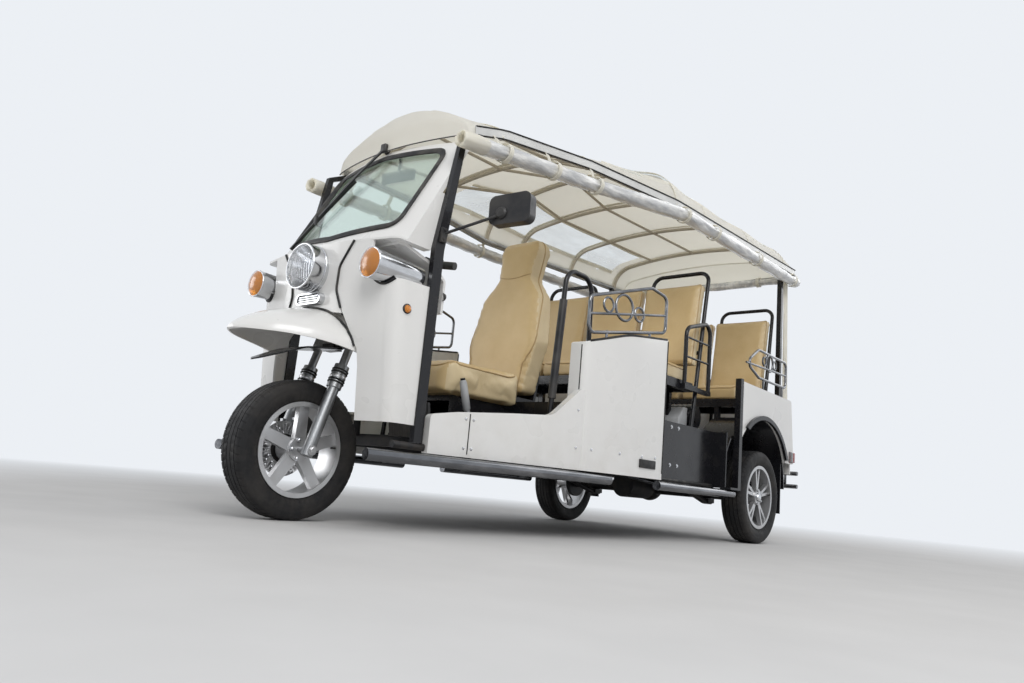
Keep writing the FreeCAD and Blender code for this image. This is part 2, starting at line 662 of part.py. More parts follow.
def dash_panel():
    top = NOSE_TOP - LEDGE_THICK - SEAM
    foot = NOSE_TOP - 238
    outline = [(62, top, 0), (108, top, 0), (262, NOSE_TOP - 50, 30), (330, NOSE_TOP - 100, 20),
               (330, foot, 0), (318, foot, 0), (318, NOSE_TOP - 106, 12), (258, NOSE_TOP - 62, 22),
               (104, top - 12, 0), (62, top - 12, 0)]
    shell = side_prism(outline, -418, 418)
    hole = rod(on_axis(STEM_TOP - 98), on_axis(STEM_TOP + 2), STEM_RADIUS + 9)
    return shell.cut(hole)


# Roof

# Rows along the canopy's lower edge: station, half width, height
ROOF_EDGE = [(ROOF_FRONT, 425.0, SURROUND_TOP - 15), (520.0, 490.0, SURROUND_TOP + 45),
             (1040.0, 583.0, SURROUND_TOP + 90), (ROOF_KINK, 700.0, SURROUND_TOP + 97),
             (ROOF_REAR, 700.0, SURROUND_TOP + 180)]
# Rows over the canopy's crown: station, height above the lower edge, shoulder radius
ROOF_CROWN = [(ROOF_FRONT, 50.0, 20.0), (ROOF_FRONT + 38, 140.0, 50.0), (ROOF_FRONT + 83, 205.0, 85.0),
              (520.0, 168.0, 60.0), (1040.0, 140.0, 75.0), (ROOF_KINK, 310.0, 240.0),
              (ROOF_KINK + 350, 238.0, 190.0), (ROOF_REAR - 175, 235.0, 190.0), (ROOF_REAR, 150.0, 100.0)]
BOW_STATIONS = (520.0, 1040.0, ROOF_KINK, ROOF_KINK + 350, (ROOF_KINK + ROOF_REAR + 175) / 2,
                ROOF_REAR - 175)


def table_at(table, y):
    """Row of a table at station y, read in straight lines between its rows."""
    for low, high in zip(table, table[1:]):
        if y <= high[0]:
            share = (y - low[0]) / (high[0] - low[0])
            return [a + share * (b - a) for a, b in zip(low[1:], high[1:])]
    return list(table[-1][1:])


def roof_low(y):
    """Height of the canopy's lower edge."""
    return table_at(ROOF_EDGE, y)[1]


def canopy_sections(rear):
    """Arch rows with the last station moved to rear."""
    rows = []
    for y, rise, shoulder in ROOF_CROWN:
        half, low = table_at(ROOF_EDGE, y)
        rows.append((y, half, low, low + rise, shoulder))
    rows[-1] = (rear,) + rows[-1][1:]
    return rows


def behind_cap(offset):
    """Everything behind an upright front that follows the curve of the screen in plan."""
    reach = 520.0
    front = SCREEN_TOP_Y - 14 + offset
    back = front + SCREEN_RADIUS - sqrt(SCREEN_RADIUS ** 2 - reach ** 2)
    low = SURROUND_TOP - 100
    side = SIDE_X + 100
    edges = [Part.Arc(V(-reach, back, low), V(0, front, low), V(reach, back, low)).toShape()]
    corners = [V(reach, back, low), V(side, back, low), V(side, REAR_END, low), V(-side, REAR_END, low),
               V(-side, back, low), V(-reach, back, low)]
    edges += [segment(start, end) for start, end in zip(corners, corners[1:])]
    return Part.Face(Part.Wire(edges)).extrude(V(0, 0, 700))


def roof_canopy():
    """Thin skin with a closed front and rear, seated on the rails and over the screen surround."""
    outer = arch_loft(canopy_sections(ROOF_REAR), 0, 0, True).common(behind_cap(0))
    inner = arch_loft(canopy_sections(ROOF_REAR - CANOPY_THICK), CANOPY_THICK, 4, True)
    skin = outer.cut(inner.common(behind_cap(2 * CANOPY_THICK)))
    rail = roof_rail(RAIL_TUBE + SEAM)
    screen_room = screen_band(-SEAM, SURROUND_THICK + 2 * SEAM, NOSE_TOP, SURROUND_TOP + SEAM)
    skin = skin.cut(rail).cut(mirrored(rail)).cut(screen_room)
    return max(skin.Solids, key=lambda piece: piece.Volume)


def rail_point(y):
    half, low = table_at(ROOF_EDGE, y)
    return V(half - CANOPY_THICK - RAIL_TUBE, y, low + RAIL_TUBE)


def roof_rail(radius):
    stations = [ROOF_FRONT + 110] + [row[0] for row in ROOF_EDGE[1:-1]] + [ROOF_REAR - 20]
    return bent_tube([rail_point(y) for y in stations], 400, radius)


def bow_arch(y):
    """Half width, springing height, crown height and shoulder of the bow at station y."""
    half, low = table_at(ROOF_EDGE, y)
    rise, shoulder = table_at(ROOF_CROWN, y)
    inset = CANOPY_THICK + BOW_GAP + BOW_TUBE
    return half - inset, low, low + rise - inset, shoulder - inset


def bow_point(x, y):
    """Point on the wide arc of the bow at station y."""
    big, centre_z = arch_crown(*bow_arch(y))
    return V(x, y, centre_z + sqrt(big ** 2 - x ** 2))


def roof_bows():
    """Bows from rail to rail, tied by three purlins along the roof."""
    shapes = []
    for y in BOW_STATIONS:
        half, low, crown, shoulder = bow_arch(y)
        ring = Part.Wire([Part.makeCircle(BOW_TUBE, V(-half, y, low), V(0, 0, 1))])
        shapes.append(Part.Wire(arch(y, half, low, crown, shoulder)).makePipeShell([ring], True, False))
    for x in (-PURLIN_X, 0, PURLIN_X):
        shapes += [rod(bow_point(x, front), bow_point(x, rear), PURLIN_RADIUS)
                   for front, rear in zip(BOW_STATIONS, BOW_STATIONS[1:])]
    rail = roof_rail(RAIL_TUBE + SEAM)
    frame = fuse(shapes).cut(rail).cut(mirrored(rail))
    return max(frame.Solids, key=lambda piece: piece.Volume)


def roof_posts():
    """Screen posts that turn back to the rails at their tops, and square rear pillars."""
    foot = HORN_HEIGHT + HORN_RADIUS + SEAM
    turn = SURROUND_TOP - 45
    turn_y = POST_FRONT + (turn - NOSE_TOP) * 0.17
    top_y = ROOF_FRONT + 138
    outline = [(POST_FRONT, foot, 0), (250, foot, 0), (255, NOSE_TOP, 0), (turn_y + 26, turn, 0),
               (top_y, roof_low(top_y) - 22, 0), (top_y, roof_low(top_y) - SEAM, 0),
               (top_y - 24, roof_low(top_y - 24) - SEAM, 0), (turn_y, turn + 12, 0),
               (POST_FRONT, NOSE_TOP, 0)]
    post = side_prism(outline, POST_INNER, POST_INNER + POST_WIDTH)
    ear = block(POST_INNER - 21, POST_INNER + 1, top_y - 16, top_y, roof_low(top_y) - 22,
                roof_low(top_y - 16) - SEAM)
    half = PILLAR_SIZE / 2
    x = rail_point(PILLAR_Y).x
    rear = block(x - half, x + half, PILLAR_Y - half, PILLAR_Y + half, DECK_TOP + SEAM,
                 roof_low(PILLAR_Y - half) - SEAM)
    return both_sides(fuse([post, ear]), rear)


def rolled_curtains():
    """Rolls under the canopy's edge with short hanging loops, and two folded rear strips."""
    # Columns: half width, station, drop below the canopy's edge
    path = [(513, ROOF_FRONT - 27, 62), (620, 1040, 95), (742, ROOF_KINK, 48), (742, ROOF_REAR - 95, 76)]
    shapes = [bent_tube([V(x, y, roof_low(y) - drop) for x, y, drop in path], 500, ROLL_RADIUS)]
    for y in BOW_STATIONS[1:]:
        half, low = table_at(ROOF_EDGE, y)
        x = half + LOOP_RADIUS + 2 * SEAM
        shapes.append(rod(V(x, y, low + 16), V(x, y, low - 92), LOOP_RADIUS))
    side = fuse(shapes)
    rear_y = ROOF_REAR - 45
    rear_roll = 34.0
    rear_z = roof_low(rear_y) - rear_roll - 2 * SEAM
    rear = rod(V(-688, rear_y, rear_z), V(688, rear_y, rear_z), rear_roll)
    strip_y = ROOF_REAR - 149
    strip = block(675, 689, strip_y, strip_y + 64, PANEL_TOP + 10, roof_low(strip_y) - SEAM)
    return Part.Compound([side, mirrored(side), rear, strip, mirrored(strip)])


# Seats

def seat_bases():
    floor = RAIL_TOP + SEAM + FLOOR_THICK + SEAM
    low, high = DRIVER_SEAT_LOW + 50, DRIVER_SEAT_LOW + 450
    lean = DRIVER_LEAN * (high - low)
    cushion_rear = DRIVER_CUSHION_REAR + SEAM
    outline = [(665, floor, 0), (DECK_FRONT - 1, floor, 0), (DECK_FRONT - 1, DECK_TOP + SEAM, 0),
               (DRIVER_REAR + 14, DECK_TOP + SEAM, 0), (DRIVER_REAR + 14 + lean, high, 0),
               (DRIVER_REAR + 2 * SEAM + lean, high, 0), (DRIVER_REAR + 2 * SEAM, low - SEAM, 0),
               (cushion_rear, low - SEAM, 0),
               (cushion_rear, DRIVER_SEAT_LOW - SEAM, 0), (665, DRIVER_SEAT_LOW - SEAM, 0)]
    driver = side_prism(outline, -190, 190).cut(
        block(-170, 170, 660, 1040, floor + 40, DRIVER_SEAT_LOW - 30))
    handle = rod(V(292, 706, floor), V(292, 612, DRIVER_SEAT_LOW + 60), 11)
    lever = fuse([handle, block(278, 306, 690, 730, floor, floor + 24)])
    solids = [driver, lever.common(block(270, 320, 560, 760, floor, 700))]
    top = CUSHION_TOP - CUSHION_THICK - SEAM
    for row in range(2):
        y0 = BENCH_FRONT + 20 + row * ROW_PITCH
        y1 = y0 + 380
        tray = block(-BENCH_HALF, BENCH_HALF, y0, y1, top - 50, top)
        tray = tray.cut(block(-BENCH_HALF + 30, BENCH_HALF - 30, y0 + 30, y1 - 30, top - 60, top - 6))
        legs = [block(x - 15, x + 15, y - 15, y + 15, DECK_TOP + SEAM, top - 40)
                for x in (-460, 460) for y in (y0 + 20, y1 - 20)]
        cross = block(-445, 445, y1 - 30, y1 - 10, top - 50, top - 20)
        solids.append(fuse([tray, cross] + legs))
    return Part.Compound(solids)


def seat_columns():
    """Left and right edge of each of the three places across."""
    width = 2 * BENCH_HALF / 3
    edges = [-BENCH_HALF + number * width for number in range(3)]
    return [(edge + SEAT_GAP / 2, edge + width - SEAT_GAP / 2) for edge in edges]


def bench_cushions():
    solids = []
    for row in range(2):
        y0 = BENCH_FRONT + row * ROW_PITCH
        for x0, x1 in seat_columns():
            outline = [(y0, CUSHION_TOP - CUSHION_THICK, 10), (y0, CUSHION_TOP, 34),
                       (y0 + 385, CUSHION_TOP - 12, 10), (y0 + 385, CUSHION_TOP - CUSHION_THICK, 0)]
            solids.append(side_prism(outline, x0, x1))
    return Part.Compound(solids)


def bench_backs():
    solids = []
    for row in range(2):
        shift = row * ROW_PITCH
        for x0, x1 in seat_columns():
            front = BACK_FRONT + shift
            top = front + BACK_LEAN * (BACK_HIGH - BACK_LOW)
            outline = [(front, BACK_LOW, 0), (top, BACK_HIGH, 24), (top + BACK_THICK, BACK_HIGH, 24),
                       (front + BACK_THICK, BACK_LOW, 0)]
            solids.append(side_prism(outline, x0, x1))
    return Part.Compound(solids)


def hoop_point(x, z, shift):
    """Point on the line the hoops follow, just behind the seat backs."""
    gap = (HOOP_TUBE + SEAM) * sqrt(1 + BACK_LEAN ** 2)
    return V(x, BACK_FRONT + BACK_THICK + gap + BACK_LEAN * (z - BACK_LOW) + shift, z)


def seat_hoops():
    """Two hoops behind each row, tied by a cross tube."""
    rows = []
    foot = DECK_TOP + SEAM
    for row in range(2):
        shift = row * ROW_PITCH
        outer = BENCH_HALF - 10
        inner = BENCH_HALF / 3 + 18
        points = [hoop_point(outer, foot - 20, shift), hoop_point(outer, BACK_HIGH + 80, shift),
                  hoop_point(inner, BACK_HIGH + 80, shift), hoop_point(inner, foot - 20, shift)]
        hoop = bent_tube(points, 60, HOOP_TUBE)
        tie = BACK_LOW + 98
        cross = rod(hoop_point(-outer, tie, shift), hoop_point(outer, tie, shift), HOOP_TUBE)
        room = block(-SIDE_X, SIDE_X, BENCH_FRONT, REAR_END, foot, 2000)
        rows.append(fuse([hoop, mirrored(hoop), cross]).common(room))
    return Part.Compound(rows)


def grab_loops():
    """Loop on each side behind the driver's door, and an arm loop on each side of the first row."""
    floor = RAIL_TOP + SEAM + FLOOR_THICK + SEAM
    deck = DECK_TOP + SEAM
    x = 552.0
    first = [V(x, DECK_FRONT - 180, floor - 4), V(x, DECK_FRONT - 123, 1215), V(x, DECK_FRONT + 80, 1215),
             V(x, DECK_FRONT + 95, deck - 4)]
    front = bent_tube(first, 75, HOOP_TUBE)
    front = front.cut(block(x - 20, x + 20, DECK_FRONT - 220, DECK_FRONT, floor - 20, floor))
    front = front.cut(block(x - 20, x + 20, DECK_FRONT, DECK_FRONT + 120, deck - 20, deck))
    arm_x = BENCH_HALF + 18
    base = CUSHION_TOP - CUSHION_THICK - 50
    y0, y1 = BENCH_FRONT + 267, BENCH_FRONT + 555
    arm = [V(arm_x, y0, base), V(arm_x, y0, CUSHION_TOP + 210), V(arm_x, y1, CUSHION_TOP + 295),
           V(arm_x, y1, base)]
    loop = bent_tube(arm, 60, HOOP_TUBE)
    foot = block(arm_x - 18 + SEAM, arm_x + 12, y0 - 12, y0 + 113, base, base + 30)
    rear_foot = block(arm_x - 12, arm_x + 12, y0 + 88, y1 + 12, base, base + 24)
    bars = [rod(V(arm_x, y0, z), V(arm_x, y1, z), 6) for z in (CUSHION_TOP + 50, CUSHION_TOP + 160)]
    return both_sides(front, fuse([loop, foot, rear_foot] + bars))


def driver_seat_cushion():
    low, front, rear = DRIVER_SEAT_LOW, 552.0, DRIVER_CUSHION_REAR
    outline = [(front, low, 20), (front, low + 132, 50), (rear, low + 145, 20), (rear, low, 0)]
    plan = [(-250, front, 70), (-250, rear, 0), (250, rear, 0), (250, front, 70)]
    return side_prism(outline, -250, 250).common(plan_prism(plan, low - 90, low + 210))


def driver_seat_back():
    low = DRIVER_SEAT_LOW + 50
    top = low + 905
    band = side_prism([(DRIVER_REAR - 110, low, 0), (DRIVER_REAR + 26, top, 45),
                       (DRIVER_REAR + DRIVER_LEAN * (top - low), top, 45), (DRIVER_REAR, low, 0)], -300, 300)
    half = [(0, low, 0), (205, low, 30), (252, low + 290, 80), (215, low + 550, 100), (128, low + 660, 60),
            (140, low + 840, 60), (110, top + 1, 50), (0, top + 1, 0)]
    return band.common(front_prism(symmetric(half), 1000, 1500))


# Body sides

def mid_region(inset, low, high):
    """Everything inside the side panel's plan curve, moved inwards by inset."""
    rear = STEP_FRONT + 20
    plan = [(585, 992, 0), (672, 996, 60), (740, 1270, 900), (744, rear, 0), (300, rear, 0), (300, 992, 0)]
    wire = rounded_loop([V(x, y, low) for x, y, _ in plan], [row[2] for row in plan])
    if inset:
        wire = wire.makeOffset2D(-inset, 2)
    return Part.Face(wire).extrude(V(0, 0, high - low))


def sill_mouldings():
    """Door sills that follow the body as it widens; drawn straight, then swung out about z."""
    base = 300.0
    reach = 800.0
    # Columns: distance along the sill, height, corner radius
    outline = [(0, base, 0), (0, 450, 20), (120, 472, 0), (380, 500, 200), (600, 520, 100), (748, 655, 0),
               (reach, 655, 0), (reach, base, 0)]
    inner = [(12, base - 1, 0), (12, 438, 10), (120, 460, 0), (380, 488, 200), (594, 508, 90), (748, 643, 0),
             (reach, 643, 0), (reach, base - 1, 0)]
    sill = side_prism(outline, -42, 0).cut(side_prism(inner, -43, -12))
    sill.rotate(V(0, 0, 0), V(0, 0, 1), -SILL_SWING)
    sill.translate(V(SILL_START_X, SILL_START_Y, 0))
    room = mid_region(-SEAM, base - 10, 700)
    horn_room = rod(V(HORN_X, 200, HORN_HEIGHT), V(HORN_X, 420, HORN_HEIGHT), HORN_RADIUS + SEAM)
    sill = sill.cut(room).cut(horn_room)
    return both_sides(max(sill.Solids, key=lambda piece: piece.Volume))


def mid_panels():
    """Bulged side panels between the driver's door and the step."""
    skin = mid_region(0, 300, 1100).cut(mid_region(PANEL_THICK, 290, 1110))
    rear = STEP_FRONT - 10
    outline = [(980, 300, 0), (980, 868, 40), (1250, 950, 600), (rear, PANEL_TOP + 70, 0), (rear, 300, 0)]
    keep = side_prism(outline, 585, 900)
    return both_sides(max(skin.common(keep).Solids, key=lambda piece: piece.Volume))


def rear_panels():
    x0, x1 = SIDE_X - SIDE_THICK, SIDE_X
    front = ARCH_POST_REAR + SEAM
    outline = [(front, 480, 0), (front, PANEL_TOP, 0), (REAR_END - 215, PANEL_TOP - 12, 20),
               (REAR_END - 158, 505, 20), (WHEELBASE + 238, 505, 0)]
    arch_cut = rod(V(x0 - 1, WHEELBASE, ARCH_HEIGHT), V(x1 + 1, WHEELBASE, ARCH_HEIGHT), ARCH_RADIUS)
    side = side_prism(outline, x0, x1).cut(arch_cut)
    side = max(side.Solids, key=lambda piece: piece.Volume)
    top = PANEL_TOP - 14
    tail = side_prism([(REAR_END - 202, top, 0), (REAR_END - 190, top, 0), (REAR_END - 162, TAIL_LOW, 0),
                       (REAR_END - 174, TAIL_LOW, 0)], -x0 + SEAM, x0 - SEAM)
    for x in (-90, 90):
        tail = tail.cut(rod(V(x, REAR_END - 320, 700), V(x, REAR_END - 20, 700), 3.5))
    return Part.Compound([side, mirrored(side), tail])


def wheel_tubs():
    """Inner wheel housings, open underneath."""
    x0, x1 = TUB_INNER, SIDE_X - SIDE_THICK - SEAM
    centre = V(x0, WHEELBASE, ARCH_HEIGHT)
    outer = Part.makeCylinder(ARCH_RADIUS + 4, x1 - x0, centre, V(1, 0, 0))
    inner = Part.makeCylinder(TUB_ROOM, x1 - x0 - 6, centre + V(6, 0, 0), V(1, 0, 0))
    keep = block(x0, x1, STEP_REAR + 12 + SEAM, WHEELBASE + 538, 340, 800)
    tub = outer.cut(inner).common(keep)
    post_clear = block(700 - SEAM, 800, STEP_REAR - 30, ARCH_POST_REAR + SEAM, 200, 1000)
    return both_sides(max(tub.cut(post_clear).Solids, key=lambda piece: piece.Volume))


def wheel_flares():
    """Rounded lips over the arches and a mud flap behind each rear wheel."""
    x0, x1 = SIDE_X + SEAM, SIDE_X + 17
    centre = V(x0, WHEELBASE, ARCH_HEIGHT)
    outer = Part.makeCylinder(ARCH_RADIUS + 16, x1 - x0, centre, V(1, 0, 0))
    inner = Part.makeCylinder(ARCH_RADIUS - 10, x1 - x0, centre, V(1, 0, 0))
    y0, y1 = WHEELBASE - 262, WHEELBASE + 538
    keep = side_prism([(y0, 660, 0), (y0, 900, 0), (y1, 900, 0), (y1, 520, 0),
                       (WHEELBASE + 138, 520, 0)], x0, x1)
    flare = outer.cut(inner).common(keep)
    room = Part.makeCylinder(TUB_ROOM - SEAM, 300, V(600, WHEELBASE, ARCH_HEIGHT), V(1, 0, 0))
    flap_y = WHEELBASE + 342
    flap = block(628, 742, flap_y, flap_y + 8, 185, 600)
    hang = block(628, 742, flap_y, flap_y + 8, 185, ARCH_HEIGHT)
    flap = fuse([flap.common(room), hang])
    return both_sides(flare, flap)


def tail_lamps():
    return both_sides(block(SIDE_X + SEAM, SIDE_X + 16, REAR_END - 240, REAR_END - 170, 515, 580))


def panel_rail(outline, ring_at, ring_radius, bars, legs):
    """Bright wire rail in the plane x = 0; outline rows are (y, z), bars and legs give two ends each."""
    points = [V(0, y, z) for y, z in outline]
    loop = rounded_loop(points, [35.0] * len(points))
    start = loop.Edges[1].Vertexes[0].Point
    along = loop.Edges[1].Vertexes[1].Point - start
    loop = Part.Wire(Part.__sortEdges__(loop.Edges[1:] + loop.Edges[:1]))
    ring = Part.Wire([Part.makeCircle(RAIL_WIRE, start, along)])
    shapes = [loop.makePipeShell([ring], True, False)]
    shapes.append(ring_tube(V(0, ring_at[0], ring_at[1]), V(1, 0, 0), ring_radius, RAIL_WIRE * 0.8))
    for y0, z0, y1, z1 in bars + legs:
        shapes.append(rod(V(0, y0, z0), V(0, y1, z1), RAIL_WIRE * 0.8))
    return fuse(shapes)


def panel_rails():
    mid = panel_rail([(0, 912), (0, 1082), (440, 1222), (560, 1200), (560, 1020)], (240, 1078), 62,
                     [(0, 1000, 560, 1108)], [(126, 945, 126, 860), (439, 1000, 439, 940)])
    mid.rotate(V(0, 0, 0), V(0, 0, 1), -7.66)
    mid.translate(V(676.3, 985, 0))
    room = mid_panels().Solids[0]
    room.translate(V(0, 0, SEAM))
    mid = max(mid.cut(room).Solids, key=lambda piece: piece.Volume)
    y0, y1, low = WHEELBASE - 257, WHEELBASE + 358, PANEL_TOP + 60
    slope = 12 / (REAR_END - 215 - ARCH_POST_REAR)
    legs = [(y, low, y, PANEL_TOP + SEAM - (y - ARCH_POST_REAR) * slope) for y in (y0 + 255, y1 - 60)]
    rear = panel_rail([(y0, low + 65), (y0 + 175, low + 171), (y1, low + 165), (y1, low), (y0 + 185, low)],
                      (y0 + 345, low + 115), 52, [(y0, low + 65, y1, low + 81)], legs)
    rear.translate(V(SIDE_X - 10, 0, 0))
    return both_sides(mid, rear)


# Running gear at the rear

def rear_axle():
    stub = STUB_RADIUS
    tube = rod(V(-600, WHEELBASE, TYRE_RADIUS), V(600, WHEELBASE, TYRE_RADIUS), 34)
    stubs = rod(V(-720, WHEELBASE, TYRE_RADIUS), V(720, WHEELBASE, TYRE_RADIUS), stub)
    case = Part.makeSphere(88, V(0, WHEELBASE, TYRE_RADIUS + 10)).common(
        block(-70, 70, WHEELBASE - 90, WHEELBASE + 90, 180, 360))
    motor = rod(V(0, WHEELBASE - 330, TYRE_RADIUS + 6), V(0, WHEELBASE - 60, TYRE_RADIUS + 6), 76)
    backing = [rod(V(side * 585, WHEELBASE, TYRE_RADIUS), V(side * 612, WHEELBASE, TYRE_RADIUS), 96)
               for side in (1, -1)]
    return fuse([tube, stubs, case, motor] + backing)


def rear_suspension():
    """Trailing arm and spring strut on each side."""
    pivot_y = WHEELBASE - 442
    arm = [V(420, pivot_y, RAIL_TOP - 47), V(420, WHEELBASE - 60, TYRE_RADIUS - 52),
           V(420, WHEELBASE + 40, TYRE_RADIUS - 52)]
    lower = bent_tube(arm, 150, 16)
    rail_side = RAIL_X + RAIL_SIZE / 2 + SEAM
    pivot = block(rail_side, 436, pivot_y - 20, pivot_y + 20, RAIL_TOP - 65, RAIL_TOP - 25)
    pad = block(396, 444, WHEELBASE - 40, WHEELBASE + 40, TYRE_RADIUS - 60, TYRE_RADIUS - 34 - SEAM)
    spring = rod(V(420, WHEELBASE, TYRE_RADIUS), V(420, WHEELBASE + 50, DECK_TOP), 30)
    spring = spring.cut(rod(V(380, WHEELBASE, TYRE_RADIUS), V(460, WHEELBASE, TYRE_RADIUS), 34 + SEAM))
    deck_low = DECK_TOP - FLOOR_THICK - SEAM
    under_deck = block(300, 500, WHEELBASE - 162, WHEELBASE + 238, TYRE_RADIUS, deck_low)
    spring = max(spring.common(under_deck).Solids, key=lambda piece: piece.Volume)
    return both_sides(fuse([lower, pivot, pad]), spring)


def rear_bumper():
    bar_y = REAR_END - 14
    bars = [rod(V(-740, bar_y, z), V(740, bar_y, z), 14) for z in (370, 455)]
    plates = [block(x - 5, x + 5, RAIL_REAR + SEAM, bar_y, 330, 480) for x in (-RAIL_X, RAIL_X)]
    links = [block(x - 6, x + 6, bar_y - 6, bar_y + 6, 370, 455) for x in (-660, 660)]
    bumper = fuse(bars + plates + links)
    return bumper.cut(block(-740, 740, REAR_END - 185, REAR_END - 158, TAIL_LOW - 2, TAIL_LOW + 60))


def mirrors():
    centre = V(694, 392, 1280)
    outline = [(-94, -62, 30), (-98, 60, 30), (92, 68, 30), (96, -58, 30)]
    shell = prism([V(x, 0, z) for x, z, _ in outline], [row[2] for row in outline], V(0, 46, 0))
    shell.rotate(V(0, 0, 0), V(0, 0, 1), 10)
    shell.translate(centre + V(0, -23, 0))
    post_side = POST_INNER + POST_WIDTH + SEAM
    arm = rod(V(post_side, 236, 1165), centre, 6)
    foot = block(post_side, post_side + 12, 222, 250, 1130, 1190)
    return both_sides(fuse([arm, foot, shell]).common(block(post_side, 792, 0, 900, 900, 1500)))


def screen_point(x, z, ahead):
    """Point ahead of the screen surround's outer face."""
    y = SCREEN_BASE_Y + (z - NOSE_TOP) * tan(radians(SCREEN_RAKE)) + x * x / (2 * SCREEN_RADIUS)
    return V(x, y - ahead, z)


def wiper():
    pivot = rod(screen_point(-20, 1622, 30), screen_point(-20, 1622, -10), 11)
    pivot = pivot.cut(screen_band(-SEAM, 60, NOSE_TOP + 1, SURROUND_TOP + 60))
    arm = rod(screen_point(-20, 1622, 22), screen_point(-240, 1335, 4), 5)
    blade = rod(screen_point(-165, 1450, 1), screen_point(-318, 1215, 1), 5)
    return fuse([pivot, arm, blade])


front_skin = nose_skin()
visor_room = arch_loft(VISOR_SECTIONS, -1.5 * SEAM, 1.5 * SEAM, False)

save("chassis_frame", chassis_frame())
save("sill_tubes", sill_tubes())
save("front_floor", front_floor())
save("passenger_deck", passenger_deck())
save("battery_block", battery_block())
save("nose_cowl", nose_cowl(front_skin, visor_room))
save("leg_shields", leg_shields(front_skin, visor_room))
save("front_visor", front_visor())
save("screen_surround", screen_surround())
save("windscreen", windscreen())
save("lamp_shells", lamp_shells())
save("lamp_lenses", lamp_lenses())
save("nose_grille", nose_grille())
save("dash_panel", dash_panel())
save("roof_posts", roof_posts())
save("roof_rails", both_sides(roof_rail(RAIL_TUBE)))
save("roof_bows", roof_bows())
save("roof_canopy", roof_canopy())
save("rolled_curtains", rolled_curtains())
save("seat_bases", seat_bases())
save("bench_cushions", bench_cushions())
save("bench_backs", bench_backs())
save("seat_hoops", seat_hoops())
save("grab_loops", grab_loops())
save("driver_seat_cushion", driver_seat_cushion())
save("driver_seat_back", driver_seat_back())
save("sill_mouldings", sill_mouldings())
save("mid_panels", mid_panels())
save("rear_panels", rear_panels())
save("wheel_tubs", wheel_tubs())
save("wheel_flares", wheel_flares())
save("tail_lamps", tail_lamps())
save("panel_rails", panel_rails())
save("rear_axle", rear_axle())
save("rear_suspension", rear_suspension())
save("rear_bumper", rear_bumper())
save("mirrors", mirrors())
save("wiper", wiper())
save("fork", fork())
save("handlebar", handlebar())
save("mudguard_blade", mudguard_blade())
save("front_tyre", tyre(0, 0))
save("front_rim", rim(0, 0, 1, FRONT_PIN_RADIUS + RUNNING_FIT, [(26, 21, 0)]))
save("front_disc", brake_disc())
for side_name, sign in (("left", 1), ("right", -1)):
    save("rear_tyre_" + side_name, tyre(sign * REAR_TRACK_HALF, WHEELBASE))
    save("rear_rim_" + side_name, rim(sign * REAR_TRACK_HALF, WHEELBASE, sign, STUB_RADIUS + RUNNING_FIT,
                                      [(9, 8, -26), (9, 8, 26)]))
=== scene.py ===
from math import atan2, cos, pi, radians, sin, sqrt, tan

import bmesh
import bpy
from mathutils import Matrix, Vector, noise
from mathutils.bvhtree import BVHTree


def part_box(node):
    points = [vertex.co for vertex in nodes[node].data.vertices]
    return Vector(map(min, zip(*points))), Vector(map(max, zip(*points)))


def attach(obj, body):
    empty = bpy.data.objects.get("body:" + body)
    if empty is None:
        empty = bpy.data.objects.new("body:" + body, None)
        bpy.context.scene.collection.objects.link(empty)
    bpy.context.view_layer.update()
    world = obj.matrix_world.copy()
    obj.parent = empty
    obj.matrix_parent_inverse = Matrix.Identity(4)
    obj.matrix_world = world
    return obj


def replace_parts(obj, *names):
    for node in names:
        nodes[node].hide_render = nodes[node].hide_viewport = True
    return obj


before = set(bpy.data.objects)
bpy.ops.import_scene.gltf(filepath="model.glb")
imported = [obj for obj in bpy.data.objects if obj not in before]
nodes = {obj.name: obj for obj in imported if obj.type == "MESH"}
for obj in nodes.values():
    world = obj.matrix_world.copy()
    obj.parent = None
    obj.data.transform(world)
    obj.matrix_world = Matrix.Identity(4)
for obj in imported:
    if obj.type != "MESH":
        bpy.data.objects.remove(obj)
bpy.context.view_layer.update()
scene = bpy.context.scene
scene.view_settings.view_transform = "Standard"
print("frame loaded")

frontAxle = -1.540  # row Y of the front axle; stations below count back from it
forward, back = Vector((0, -1, 0)), Vector((0, 1, 0))
left, up, down = Vector((1, 0, 0)), Vector((0, 0, 1)), Vector((0, 0, -1))
sides = ((1, "Left"), (-1, "Right"))


def at(x, station, z):
    return Vector((x, frontAxle + station, z))


# Camera, solved from the photograph

photoCamera = {"place": (2.620, -1.749, 0.210), "yaw": 41.13, "pitch": 10.65, "roll": 5.23, "lens": 26.77,
               "sensor": 36, "near": 0.05}


def addCamera(spec):
    yaw, pitch, roll = (radians(spec[key]) for key in ("yaw", "pitch", "roll"))
    ahead = Vector((-sin(yaw) * cos(pitch), cos(yaw) * cos(pitch), sin(pitch)))
    level = Vector((cos(yaw), sin(yaw), 0))
    above = level.cross(ahead)
    side = cos(roll) * level + sin(roll) * above
    top = cos(roll) * above - sin(roll) * level
    data = bpy.data.cameras.new("photoCamera")
    data.lens, data.sensor_width, data.clip_start = spec["lens"], spec["sensor"], spec["near"]
    data.sensor_fit = "HORIZONTAL"
    camera = bpy.data.objects.new("photoCamera", data)
    scene.collection.objects.link(camera)
    turned = Matrix((side, top, -ahead)).transposed().to_4x4()
    camera.matrix_world = Matrix.Translation(at(*spec["place"])) @ turned
    scene.camera = camera


addCamera(photoCamera)


# Shader building: wires carry maths, a finish makes the nodes

